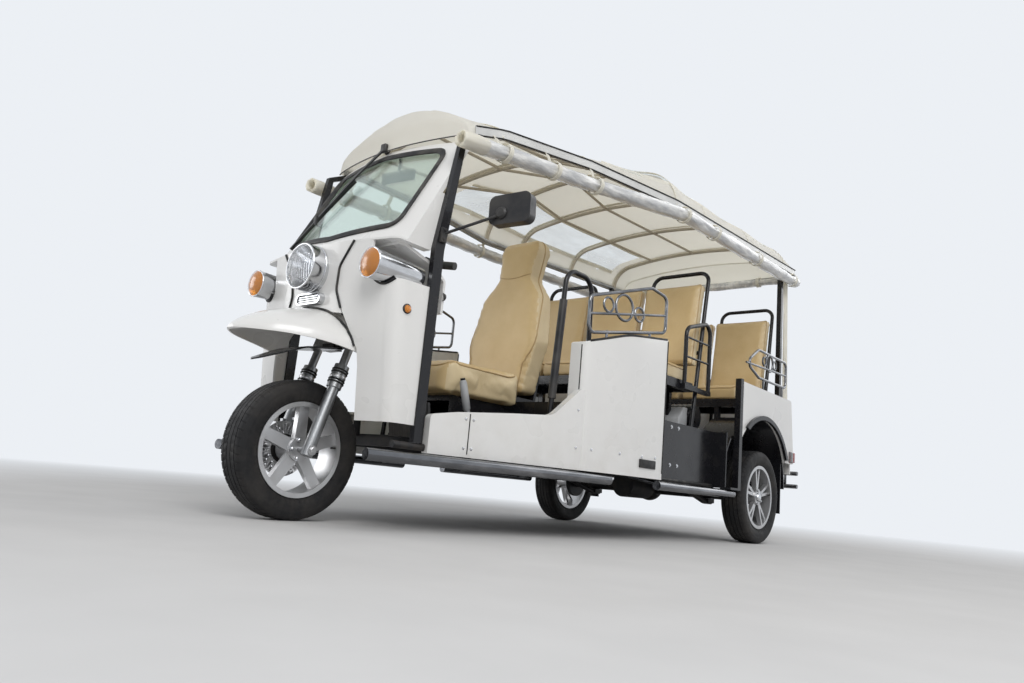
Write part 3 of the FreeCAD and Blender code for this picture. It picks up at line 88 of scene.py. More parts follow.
class Wire:
    def __init__(self, finish, socket):
        self.finish, self.socket = finish, socket

    def calc(self, operation, *values):
        return self.finish.node("ShaderNodeMath", {"operation": operation}, dict(enumerate(values)))

    def __add__(self, other):
        return self.calc("ADD", self, other)

    def __sub__(self, other):
        return self.calc("SUBTRACT", self, other)

    def __rsub__(self, other):
        return self.calc("SUBTRACT", other, self)

    def __mul__(self, other):
        return self.calc("MULTIPLY", self, other)

    def __pow__(self, other):
        return self.calc("POWER", self, other)

    def __rpow__(self, other):
        return self.calc("POWER", other, self)

    __radd__ = __add__
    __rmul__ = __mul__

    def wave(self):
        return self.calc("SINE", self)

    def clamp(self):
        return self.calc("MINIMUM", self.calc("MAXIMUM", self, 0.0), 1.0)


class Finish:
    def __init__(self, name, store=bpy.data.materials):
        self.owner = store.new(name)
        self.owner.use_nodes = True
        self.tree = self.owner.node_tree
        self.tree.nodes.clear()
        self.bumps = []

    def node(self, kind, settings=None, sockets=None, output=0):
        made = self.tree.nodes.new(kind)
        for key, value in (settings or {}).items():
            setattr(made, key, value)
        for key, value in (sockets or {}).items():
            self.feed(made.inputs[key], value)
        return Wire(self, made.outputs[output])

    def feed(self, socket, value):
        if isinstance(value, Wire):
            self.tree.links.new(value.socket, socket)
        elif isinstance(value, tuple) and socket.type == "RGBA" and len(value) == 3:
            socket.default_value = (*value, 1)
        else:
            socket.default_value = value

    def place(self):
        return self.node("ShaderNodeTexCoord", output=3)

    def axis(self, letter):
        split = self.node("ShaderNodeSeparateXYZ", sockets={0: self.place()})
        return Wire(self, split.socket.node.outputs["XYZ".index(letter)])

    def grain(self, scale, detail=2.0, rough=0.5, stretch=(1, 1, 1)):
        where = self.node("ShaderNodeMapping", sockets={"Vector": self.place(), "Scale": stretch})
        sockets = {"Vector": where, "Scale": scale, "Detail": detail, "Roughness": rough}
        return self.node("ShaderNodeTexNoise", sockets=sockets)

    def cells(self, scale, feature="F1"):
        sockets = {"Vector": self.place(), "Scale": scale}
        return self.node("ShaderNodeTexVoronoi", {"feature": feature}, sockets)

    def pores(self, scale):
        return self.ramp(self.cells(scale, "DISTANCE_TO_EDGE"), 0.0, 0.12)

    def ridges(self, letter, scale):
        return (self.axis(letter) * scale).wave()

    def ribs(self, letter, scale):  # ridges with flat tops
        return self.ramp(self.ridges(letter, scale), -0.2, 0.6)

    def rays(self):  # 1 for what the camera sees itself, through glass or in a reflection
        light = self.node("ShaderNodeLightPath").socket.node
        names = ("Is Camera Ray", "Is Glossy Ray", "Is Transmission Ray")
        direct, mirrored, through = (Wire(self, light.outputs[name]) for name in names)
        return (direct + mirrored + through).clamp()

    def ramp(self, value, low, high, start=0.0, end=1.0):
        sockets = {"Value": value, "From Min": low, "From Max": high, "To Min": start, "To Max": end}
        return self.node("ShaderNodeMapRange", {"clamp": True}, sockets)

    def mix(self, share, first, second):
        return self.node("ShaderNodeMix", {"data_type": "RGBA"}, {0: share, 6: first, 7: second}, 2)

    def bump(self, height, depth, strength):
        sockets = {"Height": height, "Distance": depth, "Strength": strength}
        if self.bumps:
            sockets["Normal"] = self.bumps[-1]
        self.bumps.append(self.node("ShaderNodeBump", sockets=sockets))

    def blend(self, share, first, second):  # two shaders
        return self.node("ShaderNodeMixShader", sockets={0: share, 1: first, 2: second})

    def close(self, shader, kind="ShaderNodeOutputMaterial"):
        out = self.tree.nodes.new(kind)
        self.tree.links.new(shader.socket, out.inputs[0])
        return self.owner

    def done(self, through=None, share=0.0, **sockets):
        if self.bumps:
            sockets["Normal"] = self.bumps[-1]
        inputs = {key.replace("_", " "): value for key, value in sockets.items()}
        shader = self.node("ShaderNodeBsdfPrincipled", sockets=inputs)
        if through is not None:  # light that passes through thin cloth
            lit = self.node("ShaderNodeBsdfTranslucent", sockets={"Color": through})
            shader = self.blend(share, shader, lit)
        return self.close(shader)


# Finishes: a bump is a pattern, its numbers, depth and strength; a tone is a grain, its spread and two
# colours; rough is a grain and its spread; the rest are the shader's own sockets

paint = {"white": (0.79, 0.78, 0.755), "chalk": (0.765, 0.755, 0.735), "dust": (0.46, 0.42, 0.35),
         "black": (0.009, 0.009, 0.011)}
smear, darkSmear = (26, 3, 0.6, (1, 0.3, 1)), (16, 4, 0.6, (1, 0.25, 1))
brushed, crease = (60, 3, 0.6, (1, 1, 0.08)), (34, 5, 0.62, (1, 0.22, 1))
lens = {"Roughness": 0.10, "Transmission_Weight": 0.5, "Coat_Weight": 0.6, "Coat_Roughness": 0.04}

plainFinishes = {
    "black": {"name": "glossBlack", "bumps": [("grain", (85, 1), 0.0004, 0.06)],
              "tone": ((14, 4, 0.65), (0.5, 0.8, 0.0, 0.03), paint["black"], paint["dust"]),
              "rough": ((8, 3), (0.3, 0.8, 0.20, 0.34)),
              "sockets": {"Specular_IOR_Level": 0.30, "Coat_Weight": 0.12, "Coat_Roughness": 0.05}},
    "chrome": {"name": "chromePlate", "tone": (smear, (0.45, 0.8), (0.66, 0.67, 0.69), (0.48, 0.48, 0.48)),
               "rough": (smear, (0.35, 0.85, 0.06, 0.24)), "sockets": {"Metallic": 1.0}},
    # chrome whose colour is darkened to stand in for the dark ground it reflects: painted reflection,
    # streaked by smudges
    "paintedReflectionChrome": {"name": "paintedReflectionChrome",
                   "tone": (darkSmear, (0.42, 0.72), (0.15, 0.155, 0.165), (0.30, 0.30, 0.31)),
                   "rough": (darkSmear, (0.35, 0.85, 0.10, 0.34)), "sockets": {"Metallic": 1.0}},
    "forkGrey": {"name": "forkGrey", "bumps": [("grain", brushed, 0.0003, 0.15)],
                 "tone": (brushed, (0.35, 0.75), (0.34, 0.35, 0.36), (0.25, 0.25, 0.25)),
                 "rough": (brushed, (0.3, 0.8, 0.28, 0.42)), "sockets": {"Metallic": 0.85}},
    "sleeve": {"name": "bowSleeve", "bumps": [("grain", (40, 3), 0.001, 0.2)],
               "tone": ((9, 3), (0.35, 0.75), (0.50, 0.45, 0.36), (0.42, 0.37, 0.29)),
               "sockets": {"Roughness": 0.6}},
    "alloy": {"name": "silverAlloy", "bumps": [("grain", (120, 2), 0.0002, 0.05)],
              "tone": ((12, 4, 0.6), (0.5, 0.85, 0.0, 0.35), (0.54, 0.54, 0.545), (0.24, 0.22, 0.20)),
              "rough": ((9, 3), (0.3, 0.8, 0.28, 0.40)), "sockets": {"Metallic": 0.80}},
    "steel": {"name": "darkSteel", "bumps": [("grain", (160, 3), 0.0006, 0.3)],
              "tone": ((11, 5, 0.7), (0.45, 0.8, 0.0, 0.5), (0.018, 0.018, 0.020), (0.11, 0.085, 0.06)),
              "sockets": {"Metallic": 0.3, "Roughness": 0.55}},
    "plastic": {"name": "blackPlastic", "bumps": [("cells", (900,), 0.0003, 0.35)],
                "tone": ((8, 4), (0.4, 0.8, 0.0, 0.12), (0.016, 0.016, 0.018), paint["dust"]),
                "rough": ((50, 3), (0.3, 0.8, 0.34, 0.50)), "sockets": {"Specular_IOR_Level": 0.32}},
    "rubber": {"name": "blackRubber", "bumps": [("grain", (500, 2), 0.0004, 0.3)],
               "tone": ((16, 4), (0.45, 0.8, 0.0, 0.15), (0.012, 0.012, 0.013), paint["dust"]),
               "rough": ((70, 3), (0.3, 0.8, 0.42, 0.62)), "sockets": {"Specular_IOR_Level": 0.28}},
    "tyre": {"name": "tyreRubber", "bumps": [("grain", (380, 3), 0.0006, 0.35)],
             "tone": ((7, 5, 0.65), (0.42, 0.78, 0.0, 0.22), (0.014, 0.014, 0.015), (0.16, 0.14, 0.12)),
             "rough": ((24, 3), (0.3, 0.8, 0.58, 0.78)), "sockets": {"Specular_IOR_Level": 0.25}},
    "roll": {"name": "rolledFilm", "bumps": [("grain", crease, 0.010, 0.85)],
             "tone": (crease, (0.38, 0.62), (0.84, 0.83, 0.80), (0.50, 0.505, 0.51)),
             "rough": (crease, (0.3, 0.7, 0.12, 0.36)),
             "sockets": {"Coat_Weight": 0.6, "Coat_Roughness": 0.08}},
    "headGlass": {"name": "headGlass", "bumps": [("ridges", ("X", 520), 0.0015, 0.5)],
                  "sockets": {"Base_Color": (0.96, 0.98, 1.0), "Roughness": 0.05, "Transmission_Weight": 0.85,
                              "IOR": 1.45, "Coat_Weight": 0.3}},
    "amber": {"name": "amberLens", "bumps": [("cells", (150,), 0.0012, 0.35)],
              "sockets": {"Base_Color": (0.95, 0.33, 0.02), **lens}},
    "red": {"name": "redLens", "bumps": [("cells", (150,), 0.0012, 0.35)],
            "sockets": {"Base_Color": (0.50, 0.015, 0.012), **lens}},
    "rail": {"name": "greyRail", "bumps": [("ridges", ("Z", 900), 0.0002, 0.2)],
             "tone": ((10, 4), (0.4, 0.8), (0.40, 0.41, 0.42), (0.28, 0.28, 0.28)),
             "sockets": {"Metallic": 0.6, "Roughness": 0.38}},
    "mat": {"name": "floorMat", "bumps": [("ribs", ("X", 420), 0.002, 0.7)],
            "tone": ((6, 5, 0.65), (0.4, 0.75, 0.0, 0.5), (0.020, 0.020, 0.021), (0.13, 0.115, 0.095)),
            "sockets": {"Roughness": 0.7}},
    "pale": {"name": "paleVinyl",
             "bumps": [("pores", (520,), 0.0005, 0.3), ("grain", (26, 3, 0.6), 0.004, 0.15)],
             "tone": ((6, 4), (0.35, 0.75), (0.72, 0.58, 0.35), (0.62, 0.48, 0.27)),
             "sockets": {"Roughness": 0.40, "Coat_Weight": 0.12, "Coat_Roughness": 0.25}},
    "piping": {"name": "vinylPiping", "bumps": [("grain", (300, 2), 0.0003, 0.2)],
               "tone": ((18, 3), (0.4, 0.7), (0.50, 0.34, 0.16), (0.42, 0.28, 0.13)),
               "sockets": {"Roughness": 0.42}},
    "grip": {"name": "greyGrip", "bumps": [("cells", (700,), 0.0003, 0.25)],
             "tone": ((20, 3), (0.4, 0.8), (0.46, 0.47, 0.48), (0.34, 0.34, 0.34)),
             "sockets": {"Roughness": 0.36}},
    "hem": {"name": "greyHem",
            "bumps": [("ridges", ("Z", 1400), 0.0004, 0.3), ("grain", (14, 3), 0.004, 0.2)],
            "tone": ((8, 4), (0.4, 0.8), (0.70, 0.70, 0.68), (0.55, 0.55, 0.54)),
            "sockets": {"Roughness": 0.35, "Coat_Weight": 0.3}},
    "mirror": {"name": "mirrorGlass", "rough": ((30, 3), (0.4, 0.9, 0.015, 0.08)),
               "sockets": {"Base_Color": (0.86, 0.88, 0.9), "Metallic": 1.0}},
}


def plainFinish(spec):
    f = Finish(spec["name"])
    for pattern, numbers, depth, strength in spec.get("bumps", ()):
        f.bump(getattr(f, pattern)(*numbers), depth, strength)
    sockets = dict(spec["sockets"])
    if "tone" in spec:
        grain, spread, first, second = spec["tone"]
        sockets["Base_Color"] = f.mix(f.ramp(f.grain(*grain), *spread), first, second)
    if "rough" in spec:
        grain, spread = spec["rough"]
        sockets["Roughness"] = f.ramp(f.grain(*grain), *spread)
    return f.done(**sockets)


def glossWhite():  # dusty towards the ground
    f = Finish("glossWhite")
    low = f.ramp(f.axis("Z"), 0.62, 0.28) * f.ramp(f.grain(7, 5, 0.6), 0.42, 0.75)
    clean = f.mix(f.ramp(f.grain(2.2, 2), 0.35, 0.7), paint["white"], paint["chalk"])
    f.bump(f.grain(85, 1), 0.0004, 0.06)
    return f.done(Base_Color=f.mix(low * 0.30, clean, paint["dust"]), Coat_Weight=0.45, Coat_Roughness=0.06,
                  Roughness=f.ramp(f.grain(6, 2), 0.3, 0.8, 0.26, 0.34))


def tanVinyl():  # darker in its pores
    f = Finish("tanVinyl")
    f.bump(f.pores(520), 0.0005, 0.35)
    f.bump(f.grain(22, 3, 0.6), 0.004, 0.12)
    tone = f.mix(f.ramp(f.grain(5, 4, 0.6), 0.35, 0.75), (0.68, 0.51, 0.265), (0.60, 0.43, 0.205))
    pore = f.ramp(f.cells(520, "DISTANCE_TO_EDGE"), 0.0, 0.05, 0.35, 0.0)
    return f.done(Base_Color=f.mix(pore, tone, (0.30, 0.19, 0.09)), Coat_Weight=0.12, Coat_Roughness=0.25,
                  Roughness=f.ramp(f.grain(35, 3), 0.3, 0.8, 0.34, 0.5))


def creamCanvas():  # woven, and lit through by the sky
    f = Finish("creamCanvas")
    f.bump(f.ridges("Y", 2100) * f.ridges("X", 2100), 0.0003, 0.25)
    f.bump(f.grain(7, 3, 0.55), 0.010, 0.25)
    tone = f.mix(f.ramp(f.grain(4, 5, 0.6), 0.35, 0.75), (0.86, 0.845, 0.79), (0.81, 0.79, 0.725))
    return f.done((0.95, 0.91, 0.79), 0.36, Base_Color=tone, Roughness=0.58, Coat_Weight=0.08)


def clearGlass():
    f = Finish("clearGlass")
    clear = f.node("ShaderNodeBsdfTransparent", sockets={"Color": (0.85, 0.92, 0.88)})
    shine = f.node("ShaderNodeBsdfGlossy", sockets={"Color": (1, 1, 1), "Roughness": 0.02})
    edge = f.node("ShaderNodeLayerWeight", sockets={"Blend": 0.22})
    return f.close(f.blend(edge * 0.6 + 0.015, clear, shine))


def clearFilm():  # creased and a little milky
    f = Finish("clearFilm")
    folds = f.grain(5, 4, 0.6, (1, 0.35, 1))
    f.bump(folds, 0.02, 0.6)
    clear = f.node("ShaderNodeBsdfTransparent", sockets={"Color": (0.93, 0.95, 0.94)})
    sockets = {"Base Color": (0.86, 0.87, 0.86), "Roughness": 0.12, "Normal": f.bumps[-1], "Coat Weight": 0.5}
    body = f.node("ShaderNodeBsdfPrincipled", sockets=sockets)
    return f.close(f.blend(f.ramp(folds, 0.35, 0.75, 0.16, 0.46), clear, body))


finishes = {key: plainFinish(spec) for key, spec in plainFinishes.items()}
finishes.update(white=glossWhite(), vinyl=tanVinyl(), canvas=creamCanvas(), glass=clearGlass(),
                film=clearFilm())

nodeFinish = {
    "steel": ("chassis_frame", "rear_axle", "rear_suspension", "battery_block"),
    "chrome": ("lamp_shells", "nose_grille"),
    # sill tubes, panel rails and rear bumper take the chrome darkened as painted reflection of dark ground
    "paintedReflectionChrome": ("sill_tubes", "panel_rails", "rear_bumper"),
    "forkGrey": ("fork",),
    "mat": ("front_floor",),
    "black": ("roof_posts", "seat_hoops", "grab_loops", "seat_bases", "wheel_flares", "passenger_deck",
              "mudguard_blade", "wheel_tubs"),
    "white": ("nose_cowl", "leg_shields", "front_visor", "screen_surround", "sill_mouldings", "mid_panels",
              "rear_panels", "dash_panel"),
    "glass": ("windscreen",),
    "headGlass": ("lamp_lenses",),
    "plastic": ("mirrors", "wiper", "handlebar"),
    "rail": ("roof_rails",),
    "sleeve": ("roof_bows",),
    "canvas": ("roof_canopy",),
    "roll": ("rolled_curtains",),
    "vinyl": ("bench_cushions", "bench_backs", "driver_seat_cushion", "driver_seat_back"),
    "red": ("tail_lamps",),
    "alloy": ("front_rim", "front_disc", "rear_rim_left", "rear_rim_right"),
    "tyre": ("front_tyre", "rear_tyre_left", "rear_tyre_right"),
}
for finishName, nodeNames in nodeFinish.items():
    for nodeName in nodeNames:
        slots = nodes[nodeName].data.materials
        slots.clear()
        slots.append(finishes[finishName])
print("finishes made")


# Paths and cross-sections

cornerShare = 0.48  # the most of a leg that a rounded corner takes


def smoothBend(points, radius, steps=6):  # a path whose corners are rounded
    path = [points[0]]
    for before, corner, after in zip(points, points[1:], points[2:]):
        toward, onward = (before - corner).normalized(), (after - corner).normalized()
        reach = min(radius / tan(toward.angle(onward) / 2), cornerShare * (before - corner).length,
                    cornerShare * (after - corner).length)
        start, end = corner + toward * reach, corner + onward * reach
        for step in range(steps + 1):
            share = step / steps
            path.append(start * (1 - share) ** 2 + corner * 2 * share * (1 - share) + end * share ** 2)
    return path + [points[-1]]


def finer(path, gap):  # the path with a point about every gap
    points = []
    for first, second in zip(path, path[1:]):
        steps = max(1, int((second - first).length / gap))
        points += [first.lerp(second, step / steps) for step in range(steps)]
    return points + [path[-1]]


def pathLength(path):
    return sum((second - first).length for first, second in zip(path, path[1:]))


def circlePath(centre, first, second, radius, steps):  # circle in the plane of two directions
    angles = [2 * pi * step / steps for step in range(steps + 1)]
    return [centre + first * (radius * cos(angle)) + second * (radius * sin(angle)) for angle in angles]


def disc(radius, count=12, squeeze=1.0):  # cross-section of a round or oval tube
    angles = [2 * pi * step / count for step in range(count)]
    return [(radius * cos(angle), radius * squeeze * sin(angle)) for angle in angles]


def strap(half, top, bottom=None):  # cross-section of a flat strip
    bottom = -top if bottom is None else bottom
    return [(half, top), (-half, top), (-half, bottom), (half, bottom)]


def twin(point, side):  # the same point on the left (1) or right (-1)
    return Vector((point.x * side, point.y, point.z))


def span(name):
    low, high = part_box(name)
    return Vector(low), Vector(high)


# Form building: a form gathers faces, then becomes one piece that rides on a body

class Form:
    def __init__(self):
        self.mesh = bmesh.new()

    def rows(self, lines, around=False, caps=False):
        made = [[self.mesh.verts.new(point) for point in line] for line in lines]
        count = len(lines[0])
        for first, second in zip(made, made[1:]):
            for near in range(count if around else count - 1):
                far = (near + 1) % count
                self.mesh.faces.new((first[near], first[far], second[far], second[near]))
        if caps:
            self.mesh.faces.new(list(reversed(made[0])))
            self.mesh.faces.new(made[-1])
        return self

    def sweep(self, points, section, facing=None, loop=False, caps=True):
        points = list(points)
        if loop and (points[0] - points[-1]).length < 1e-6:
            points.pop()
        count = len(points)
        lines, side = [], None
        for index, point in enumerate(points):
            before = points[index - 1] if index or loop else point
            after = points[(index + 1) % count] if index < count - 1 or loop else point
            along = (after - before).normalized()
            if facing is not None:
                side = along.cross(facing[index] if isinstance(facing, list) else facing)
            elif side is None:
                side = along.cross(up if abs(along.z) < 0.9 else left)
            side = (side - along * side.dot(along)).normalized()
            out = side.cross(along)
            lines.append([point + side * across + out * rise for across, rise in section])
        if loop:
            lines.append(lines[0])
        start = len(self.mesh.verts)
        self.rows(lines, around=True, caps=caps and not loop)
        if loop:
            self.mesh.verts.ensure_lookup_table()
            bmesh.ops.remove_doubles(self.mesh, verts=self.mesh.verts[start:], dist=1e-7)
        return self

    def tube(self, points, radius, count=12, loop=False):
        return self.sweep(points, disc(radius, count), loop=loop)

    def rod(self, start, end, radius, count=20):
        return self.turn([(0, radius), ((end - start).length, radius)], start, end - start, count, True)

    def turn(self, profile, centre, axis, count=40, caps=False):
        axis = axis.normalized()
        first = axis.orthogonal().normalized()
        second = axis.cross(first)
        spokes = [first * cos(2 * pi * step / count) + second * sin(2 * pi * step / count)
                  for step in range(count)]
        lines = [[centre + axis * along + spoke * radius for spoke in spokes] for along, radius in profile]
        return self.rows(lines, around=True, caps=caps)

    def brick(self, centre, size, turned=None, bevel=0.0):
        turned = turned or Matrix.Identity(3)
        made = bmesh.ops.create_cube(self.mesh, size=1)["verts"]
        for vertex in made:
            vertex.co = centre + turned @ Vector(part * edge for part, edge in zip(vertex.co, size))
        if bevel:
            edges = list({edge for vertex in made for edge in vertex.link_edges})
            bmesh.ops.bevel(self.mesh, geom=edges, offset=bevel, segments=3, affect="EDGES", profile=0.5)
        return self

    def bolt(self, place, outward, radius, height):  # six-sided head on a washer
        outward = outward.normalized()
        head = [(0, radius), (height * 0.85, radius), (height, radius * 0.8)]
        self.turn([(0, radius * 1.5), (height * 0.25, radius * 1.5)], place, outward, 24, True)
        return self.turn(head, place, outward, 6, True)

    def merge(self):
        bmesh.ops.remove_doubles(self.mesh, verts=self.mesh.verts, dist=1e-6)
        return self

    def piece(self, name, finish, body="chassis", sharp=32, extra=()):
        bmesh.ops.recalc_face_normals(self.mesh, faces=self.mesh.faces)
        mesh = bpy.data.meshes.new(name)
        self.mesh.to_mesh(mesh)
        self.mesh.free()
        return finishPiece(name, mesh, finish, body, sharp, extra)


def finishPiece(name, mesh, finish, body, sharp, extra=()):
    for key in (finish, *extra):
        mesh.materials.append(finishes[key])
    mesh.shade_smooth()
    mesh.set_sharp_from_angle(angle=radians(sharp))
    made = bpy.data.objects.new(name, mesh)
    scene.collection.objects.link(made)
    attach(made, body)
    return made


def applyModifiers(piece):
    graph = bpy.context.evaluated_depsgraph_get()
    solid = bpy.data.meshes.new_from_object(piece.evaluated_get(graph), depsgraph=graph)
    piece.modifiers.clear()
    piece.data = solid


class Skin:  # finds where straight lines meet some of the solids
    def __init__(self, *names):
        points, faces = [], []
        for name in names:
            mesh = nodes[name].data
            base = len(points)
            points += [vertex.co.copy() for vertex in mesh.vertices]
            faces += [[base + index for index in face.vertices] for face in mesh.polygons]
        self.tree = BVHTree.FromPolygons(points, faces)

    def hit(self, start, direction, lift=0.0):
        place, _, _, _ = self.tree.ray_cast(start, direction)
        return None if place is None else place - direction.normalized() * lift

    def trace(self, starts, direction, lift=0.0):
        spots = [self.hit(start, direction, lift) for start in starts]
        return [spot for spot in spots if spot is not None]


# Tyres: half of the section from bead to middle, with zigzag tread grooves and cross cuts

tyreSection = [  # distance from the middle, radius
    (0.0500, 0.1785), (0.0535, 0.1865), (0.0565, 0.1925), (0.0592, 0.1940), (0.0598, 0.1985),
    (0.0650, 0.2080), (0.0686, 0.2190), (0.0697, 0.2290), (0.0690, 0.2380), (0.0694, 0.2392),
    (0.0688, 0.2420), (0.0676, 0.2500), (0.0658, 0.2570), (0.0630, 0.2630), (0.0585, 0.2680),
    (0.0480, 0.2706), (0.0394, 0.2717), (0.0386, 0.2652), (0.0356, 0.2652), (0.0348, 0.2720),
    (0.0240, 0.2723), (0.0144, 0.2725), (0.0136, 0.2657), (0.0106, 0.2657), (0.0098, 0.2725)]
tread = {"pitches": 56, "blockShare": 0.80, "cutStart": 0.05, "cutEnd": 0.95, "cutDepth": 0.0026,
         "shoulder": (0.0395, 0.0640), "fadeFrom": 0.0660, "fadeOver": 0.004, "rib": (0.0200, 0.0300),
         "ribShare": 0.8, "zigzag": 0.0016, "grooveX": 0.0396, "grooveRadius": 0.2650, "skew": 1.1,
         "skewRadius": 0.26}


def cutAt(x):  # depth of a cross cut at this distance from the middle
    across = abs(x)
    if tread["shoulder"][0] < across < tread["shoulder"][1]:
        return tread["cutDepth"] * min(1, (tread["fadeFrom"] - across) / tread["fadeOver"])
    if tread["rib"][0] < across < tread["rib"][1]:
        return tread["cutDepth"] * tread["ribShare"]
    return 0.0


def treadPoint(x, radius, angle, cut):
    grooved = radius > tread["grooveRadius"] and abs(x) < tread["grooveX"]
    wave = sin(angle * tread["pitches"] / 2) if grooved else 0.0
    twist = angle + tread["skew"] * abs(x) if radius > tread["skewRadius"] else angle
    distance = radius - (cutAt(x) if cut else 0.0)
    return Vector((x + tread["zigzag"] * wave, distance * cos(twist), distance * sin(twist)))


def addTyre(node, body):
    low, high = span(node)
    centre = (low + high) / 2
    section = tyreSection + [(-x, radius) for x, radius in reversed(tyreSection)]
    block = tread["blockShare"]
    edges = ((0.0, False), (block, False), (block + tread["cutStart"], True), (tread["cutEnd"], True))
    lines = []
    for pitch in range(tread["pitches"]):
        for share, cut in edges:
            angle = 2 * pi * (pitch + share) / tread["pitches"]
            lines.append([centre + treadPoint(x, radius, angle, cut) for x, radius in section])
    form = Form().rows(lines + lines[:1], around=True).merge()
    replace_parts(form.piece(node + "Dressed", "tyre", body, 40), node)


# Wheel trim: hub cap, nuts, valve

wheelTrim = {"faceOut": 0.0503, "nuts": 5, "nutCircle": 0.0375, "nutRadius": 0.0065, "nutHeight": 0.010,
             "seat": [(0, 0.0085), (0.002, 0.0085)], "rim": [(0, 0.0475), (0.0015, 0.0470)],
             "cap": [(0, 0.026), (0.004, 0.026), (0.010, 0.02236), (0.013, 0.013), (0.0135, 0.0005)],
             "valve": [(0, 0.0040), (0.018, 0.0034), (0.019, 0.0042), (0.027, 0.0042), (0.028, 0.002)],
             "valveOut": 0.030, "valveRadius": 0.160, "valveUp": 0.02}


def addWheelTrim(node, body, side, cap):
    spec = wheelTrim
    low, high = span(node)
    centre = (low + high) / 2
    out = left * side
    face = centre + out * spec["faceOut"]
    form = Form()
    if cap:
        form.turn(spec["cap"], face, out)
    radius, height = spec["nutRadius"], spec["nutHeight"]
    for nut in range(spec["nuts"]):
        angle = 2 * pi * (nut + 0.5) / spec["nuts"]
        spot = face + Vector((0, cos(angle), sin(angle))) * spec["nutCircle"]
        form.turn(spec["seat"], spot, out, 20, True)
        form.turn([(0, radius), (height * 0.8, radius), (height, 0.004)], spot, out, 6, True)
    form.turn(spec["rim"], face - out * 0.0004, out, 48)
    form.piece(node + "Trim", "chrome", body)
    valve = centre + Vector((out.x * spec["valveOut"], spec["valveRadius"], spec["valveUp"]))
    Form().turn(spec["valve"], valve, out, 16).piece(node + "Valve", "rubber", body)


# Brake disc: drilled ring on its hat, cut with a boolean

discSpec = {"outer": 0.110, "inner": 0.058, "thick": 0.004, "holeRadius": 0.0035, "perRing": 14,
            "rings": (0.070, 0.084, 0.098), "hatTop": 0.0185, "hatRadius": 0.045, "bore": 0.019}


def addBrakeDisc():
    spec = discSpec
    low, high = span("front_disc")
    centre = Vector((low.x, (low.y + high.y) / 2, (low.z + high.z) / 2))
    outer, inner, thick, top = spec["outer"], spec["inner"], spec["thick"], spec["hatTop"]
    section = [(0, inner), (0, outer), (thick, outer), (thick, inner), (0, inner)]
    ring = Form().turn(section, centre, left, 96).merge().piece("brakeDisc", "alloy", "front_wheel")
    holes = Form()
    for row, radius in enumerate(spec["rings"]):
        for step in range(spec["perRing"]):
            angle = 2 * pi * (step + row / 3) / spec["perRing"]
            spot = centre + Vector((-thick, radius * cos(angle), radius * sin(angle)))
            holes.rod(spot, spot + left * 3 * thick, spec["holeRadius"], 12)
    cutter = holes.piece("discHoles", "alloy", "front_wheel")
    cut = ring.modifiers.new("holes", "BOOLEAN")
    cut.object, cut.solver, cut.operation = cutter, "EXACT", "DIFFERENCE"
    applyModifiers(ring)
    bpy.data.objects.remove(cutter)
    hat = [(thick, inner + 0.001), (thick, spec["hatRadius"] + 0.002), (top, spec["hatRadius"]),
           (top, spec["bore"]), (0.001, spec["bore"]), (0.001, inner)]
    Form().turn(hat, centre, left, 64).piece("discHat", "steel", "front_wheel")
    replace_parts(ring, "front_disc")


for nodeName, bodyName in (("front_tyre", "front_wheel"), ("rear_tyre_left", "rear_wheel_left"),
                           ("rear_tyre_right", "rear_wheel_right")):
    addTyre(nodeName, bodyName)
addWheelTrim("front_rim", "front_wheel", 1, False)
addWheelTrim("rear_rim_left", "rear_wheel_left", 1, True)
addWheelTrim("rear_rim_right", "rear_wheel_right", -1, True)
addBrakeDisc()
print("wheels dressed")


# Fork trim: seal rings, axle nuts, and the levers on the bar

forkSpec = {"rake": 17.0, "axleHeight": 0.2725, "legX": 0.106, "rings": (0.287, 0.298, 0.330, 0.341),
            "ringRadius": 0.0305, "ringWire": 0.0038, "nutOut": 0.024, "yoke": 0.492, "collar": 0.305,
            "collarProfile": [(0, 0.0315), (0.006, 0.0330), (0.012, 0.0315)]}
barSpec = {"grip": (0.345, 0.416, 1.109), "inner": (0.228, 0.397, 1.124), "leverWire": 0.0045,
           "clamp": (0.030, 0.045, 0.032)}


def onFork(x, distance):  # point beside the steering axis, measured up from the axle
    slope = radians(forkSpec["rake"])
    return at(x, distance * sin(slope), forkSpec["axleHeight"] + distance * cos(slope))


def addForkTrim():
    spec = forkSpec
    axis = onFork(0, 1) - onFork(0, 0)
    seals, nuts = Form(), Form()
    for side, _ in sides:
        x = spec["legX"] * side
        for distance in spec["rings"]:
            ring = circlePath(onFork(x, distance), left, axis.cross(left), spec["ringRadius"], 36)
            seals.tube(ring, spec["ringWire"], 8, True)
        nuts.bolt(onFork(x + side * spec["nutOut"], 0), left * side, 0.013, 0.012)
        nuts.bolt(onFork(x, spec["yoke"]), axis, 0.012, 0.008)
        nuts.turn(spec["collarProfile"], onFork(x, spec["collar"]), axis, 40)
    seals.piece("forkSeals", "rubber", "fork_body")
    nuts.piece("forkNuts", "alloy", "fork_body")


def addBarControls():
    controls = Form()
    for side, _ in sides:
        grip, inner = twin(at(*barSpec["grip"]), side), twin(at(*barSpec["inner"]), side)
        lever = [inner + forward * 0.028, (inner + grip) / 2 + forward * 0.050, grip + forward * 0.046]
        controls.tube(lever, barSpec["leverWire"], 10)
        controls.brick(inner + forward * 0.010, barSpec["clamp"], bevel=0.005)
    controls.piece("barControls", "plastic", "fork_body")


addForkTrim()
addBarControls()


# Lamps: lenses, amber turn lamps, marker lamps

